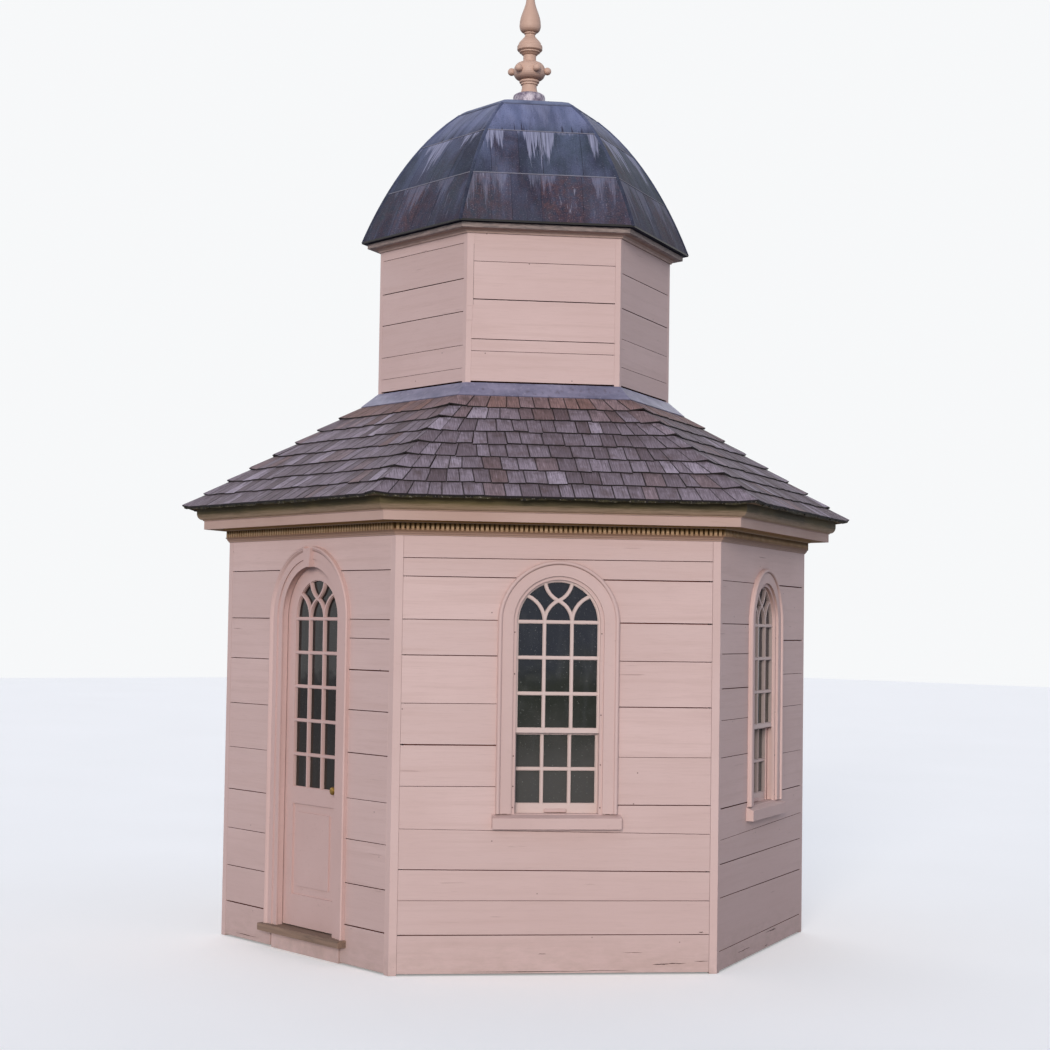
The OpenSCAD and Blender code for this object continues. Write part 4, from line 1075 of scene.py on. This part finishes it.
# The drip edge, its black also painted shade for the dark line at the dome's foot: height above
# the foot of the dome and how far it stands off
DRIP_EDGE_SHADE_LINE = ((0.0002, 0.0), (-0.003, 0.007), (0.010, 0.007), (0.013, 0.0005))
drip_edge_shade_line = Build()
for k in range(6):
    pts = []
    for up, off in DRIP_EDGE_SHADE_LINE:
        z = DOME_Z + up
        half, _, a = dome_half(max(z, DOME_Z), off)
        pts += [on_face(k, -half, 0.0, z, a), on_face(k, half, 0.0, z, a)]
    drip_edge_shade_line.grid(drip_edge_shade_line.verts(pts, [(0, 0)] * len(pts)), len(DRIP_EDGE_SHADE_LINE), 2)
drip_edge_shade_line.make("drip_edge_shade_line", mat_iron, "dome_metal")

# The dentil on each side of every corner
NEAR, END = 0.9813, 0.9987
dentils = Build()
for k in range(6):
    for u0, u1 in ((-END, -NEAR), (NEAR, END)):
        dentils.block(k, u0, u1, DENTIL + 0.0002, DENTIL_TOP - 0.0002, -0.0278, -0.0079)
dentils.make("corner_dentils", mat_dentil, "painted_trim")

# Small details of the windows: screws in the stops and a finger lift on each lower sash
SCREWS = {-1: (2.058, 1.803, 1.310, 1.127, 1.000), 1: (2.050, 1.560, 1.260, 1.000)}
SCREW_U, SCREW_R = 0.267, 0.0042
LIFT = (-0.069, 0.069, 0.966, 0.990, 0.051, 0.0625)  # across, up and inwards
screws, lifts = Build(), Build()
for k in range(1, 6):
    for s, zs in SCREWS.items():
        for z in zs:
            u = s * SCREW_U + random.uniform(-0.002, 0.002)
            z += random.uniform(-0.004, 0.004) if k == 1 else random.uniform(-0.03, 0.03)
            angles = [t * math.pi / 4 for t in range(8)]
            screws.prism(k, [(u + SCREW_R * math.cos(t), z + SCREW_R * math.sin(t))
                             for t in angles], -0.0008, 0.001)
    lifts.block(k, *LIFT)
screws.make("stop_screws", mat_screw, "iron")
lifts.make("finger_lifts", mat_trim, "painted_trim", bevel=0.004)

# Splits in the lowest boards of the front wall, measured: start, height, length and width
FRONT_SPLITS = [
    (0.66, 0.062, 0.15, 0.004), (0.60, 0.058, 0.10, 0.005), (0.86, 0.075, 0.09, 0.003),
    (-0.55, 0.021, 0.80, 0.004), (0.15, 0.024, 0.30, 0.003), (0.885, 0.250, 0.03, 0.006),
    (-0.10, 0.125, 0.05, 0.003), (0.42, 0.130, 0.12, 0.002)]


def random_split():
    return random.uniform(-0.85, 0.6), random.uniform(0.02, 0.12), random.uniform(0.05, 0.3), 0.003


def sliver(u, z, size, wide):
    """The outline of a split, wandering and widest in its middle."""
    n = 7
    mid = [(u + size * i / n, z + random.uniform(-0.4, 0.4) * wide) for i in range(n + 1)]
    part = [math.sin(math.pi * i / n) * wide * random.uniform(0.25, 0.6) for i in range(n + 1)]
    low = [(x, y - h) for (x, y), h in zip(mid, part)]
    high = [(x, y + h + 1e-4) for (x, y), h in zip(mid, part)]
    return low + high[::-1]


splits_and_strip_shadow = Build()
for k in range(6):
    rows = FRONT_SPLITS if k == 1 else [random_split() for i in range(4)]
    if k == 0:
        rows = [r for r in rows if abs(r[0] + r[2] / 2 - DOOR_SHIFT) > 0.62]
    for row in rows:
        splits_and_strip_shadow.prism(k, sliver(*row), -0.0014 if k in OVER_SPANS else -0.0004, 0.004)
# The strip's thin shadow is a painted shadow, a dark sliver
splits_and_strip_shadow.block(1, 0.0080 - DRUM_HALF, 0.0094 - DRUM_HALF, *STRIP_SHADOW, -0.0004, 0.003, DRUM_A)
splits_and_strip_shadow.make("splits_and_strip_shadow", mat_dark, "painted_boards")


def give(mat, *names):
    """Put a material on CAD nodes."""
    for n in names:
        nodes[n].data.materials.clear()
        nodes[n].data.materials.append(mat)


give(mat_post, "corner_posts", "drum_posts", "door_base_wall")
give(mat_trim, "window_frames", "window_casings", "window_sills")
give(mat_sash, *["%s_sash_%d" % (part, k) for part in ("upper", "lower") for k in range(1, 6)])
give(mat_door, "door_frame", "door_architrave", "keystone", "door_leaf")
give(mat_glass, "window_glass")
give(mat_door_glass, "door_glass")
give(mat_cornice, "bed_mould", "corona")
give(mat_dentil, "dentil_band")
give(mat_drum_cornice, "drum_cornice")
give(mat_floor, "floor_deck")
give(mat_tread, "threshold")
give(mat_rough, "floor_joists", "rafters", "roof_deck", "drum_curb")
give(mat_lead, "roof_flashing")
give(mat_shell, "dome_shell", "dome_cap")
give(mat_collar, "finial_collar")
give(mat_finial, "finial")
give(mat_brass, "door_knob")
give(mat_iron, "hinge_plates_frame", "hinge_plates_leaf")

# Camera, solved from the photograph
CAM_AT = (11.40865, -8.78164, 2.0816)
CAM_TOWARD = Vector((-0.79081462, 0.61006535, 0.04932044))
CAM_ROLL = math.radians(0.8475)
FOCAL_PX, PHOTO_PX, SENSOR = 2087.44, 1050, 36.0
forward = CAM_TOWARD.normalized()
right_of = forward.cross(Vector((0, 0, 1))).normalized()
up_of = right_of.cross(forward)
cam_x = right_of * math.cos(CAM_ROLL) + up_of * math.sin(CAM_ROLL)
cam_y = up_of * math.cos(CAM_ROLL) - right_of * math.sin(CAM_ROLL)
cam = place("camera", bpy.data.cameras.new("camera"))
axes = Matrix((cam_x, cam_y, -forward)).transposed().to_4x4()
cam.matrix_world = Matrix.Translation(CAM_AT) @ axes
cam.data.sensor_width = SENSOR
cam.data.lens = SENSOR * FOCAL_PX / PHOTO_PX
cam.data.clip_end = 200
bpy.context.scene.camera = cam

# A floor that looks pale but sends less light back up on the walls
FLOOR_R, FLOOR_Z = 60, -0.002
floor_mesh = bpy.data.meshes.new("floor")
corners = [(x * FLOOR_R, y * FLOOR_R, FLOOR_Z) for x, y in ((-1, -1), (1, -1), (1, 1), (-1, 1))]
floor_mesh.from_pydata(corners, [], [(0, 1, 2, 3)])
floor = place("stage_floor", floor_mesh)
fm = Mat("stage_floor", 0.9)
seen = fm.mix(fm.ramp(fm.noise(fm.coord(), 0.4, 2), 0.3, 0.7),
              (0.87, 0.855, 0.83, 1), (0.91, 0.895, 0.87, 1))
eye = fm.n("LightPath").outputs["Is Camera Ray"]
fm.color(fm.mix(eye, (0.45, 0.45, 0.45, 1), seen))
fm.b.inputs["Emission Color"].default_value = (1.0, 0.99, 0.97, 1)
fm.put(fm.b.inputs["Emission Strength"], fm.math("MULTIPLY", eye, 0.24))
floor_mesh.materials.append(fm.m)


def lamp(name, energy, spread, toward, color=(1.0, 1.0, 1.0)):
    """A sun lamp in the direction toward, its disc spread degrees wide."""
    ob = place(name, bpy.data.lights.new(name, "SUN"))
    ob.data.energy = energy
    ob.data.color = color
    ob.data.angle = math.radians(spread)
    ob.rotation_euler = Vector(toward).to_track_quat("Z", "Y").to_euler()


KEY_AZ, KEY_EL = math.radians(-46), math.radians(14)
lamp("key", 2.10, 20, (math.cos(KEY_AZ) * math.cos(KEY_EL), math.sin(KEY_AZ) * math.cos(KEY_EL),
                       math.sin(KEY_EL)), (1.0, 0.948, 0.885))
# A weak light from behind, for the sides that the photograph doesn't show
lamp("fill", 0.55, 60, (-0.75, 0.45, 0.5))

# A blue sky lights the model, and a pale one is seen behind it and in the glass
world = bpy.data.worlds.new("world")
bpy.context.scene.world = world
world.use_nodes = True
tree = world.node_tree
sky = tree.nodes["Background"]
sky.inputs[0].default_value = (0.81, 0.92, 1.18, 1)
sky.inputs[1].default_value = 0.43
behind = tree.nodes.new("ShaderNodeBackground")
behind.inputs[0].default_value = (0.93, 0.94, 0.95, 1)
path = tree.nodes.new("ShaderNodeLightPath")
fac = path.outputs["Is Camera Ray"]
for kind in ("Is Glossy Ray", "Is Transmission Ray"):
    most = tree.nodes.new("ShaderNodeMath")
    most.operation = "MAXIMUM"
    tree.links.new(fac, most.inputs[0])
    tree.links.new(path.outputs[kind], most.inputs[1])
    fac = most.outputs[0]
both = tree.nodes.new("ShaderNodeMixShader")
tree.links.new(fac, both.inputs[0])
tree.links.new(sky.outputs[0], both.inputs[1])
tree.links.new(behind.outputs[0], both.inputs[2])
tree.links.new(both.outputs[0], tree.nodes["World Output"].inputs[0])
bpy.context.scene.view_settings.view_transform = "Standard"
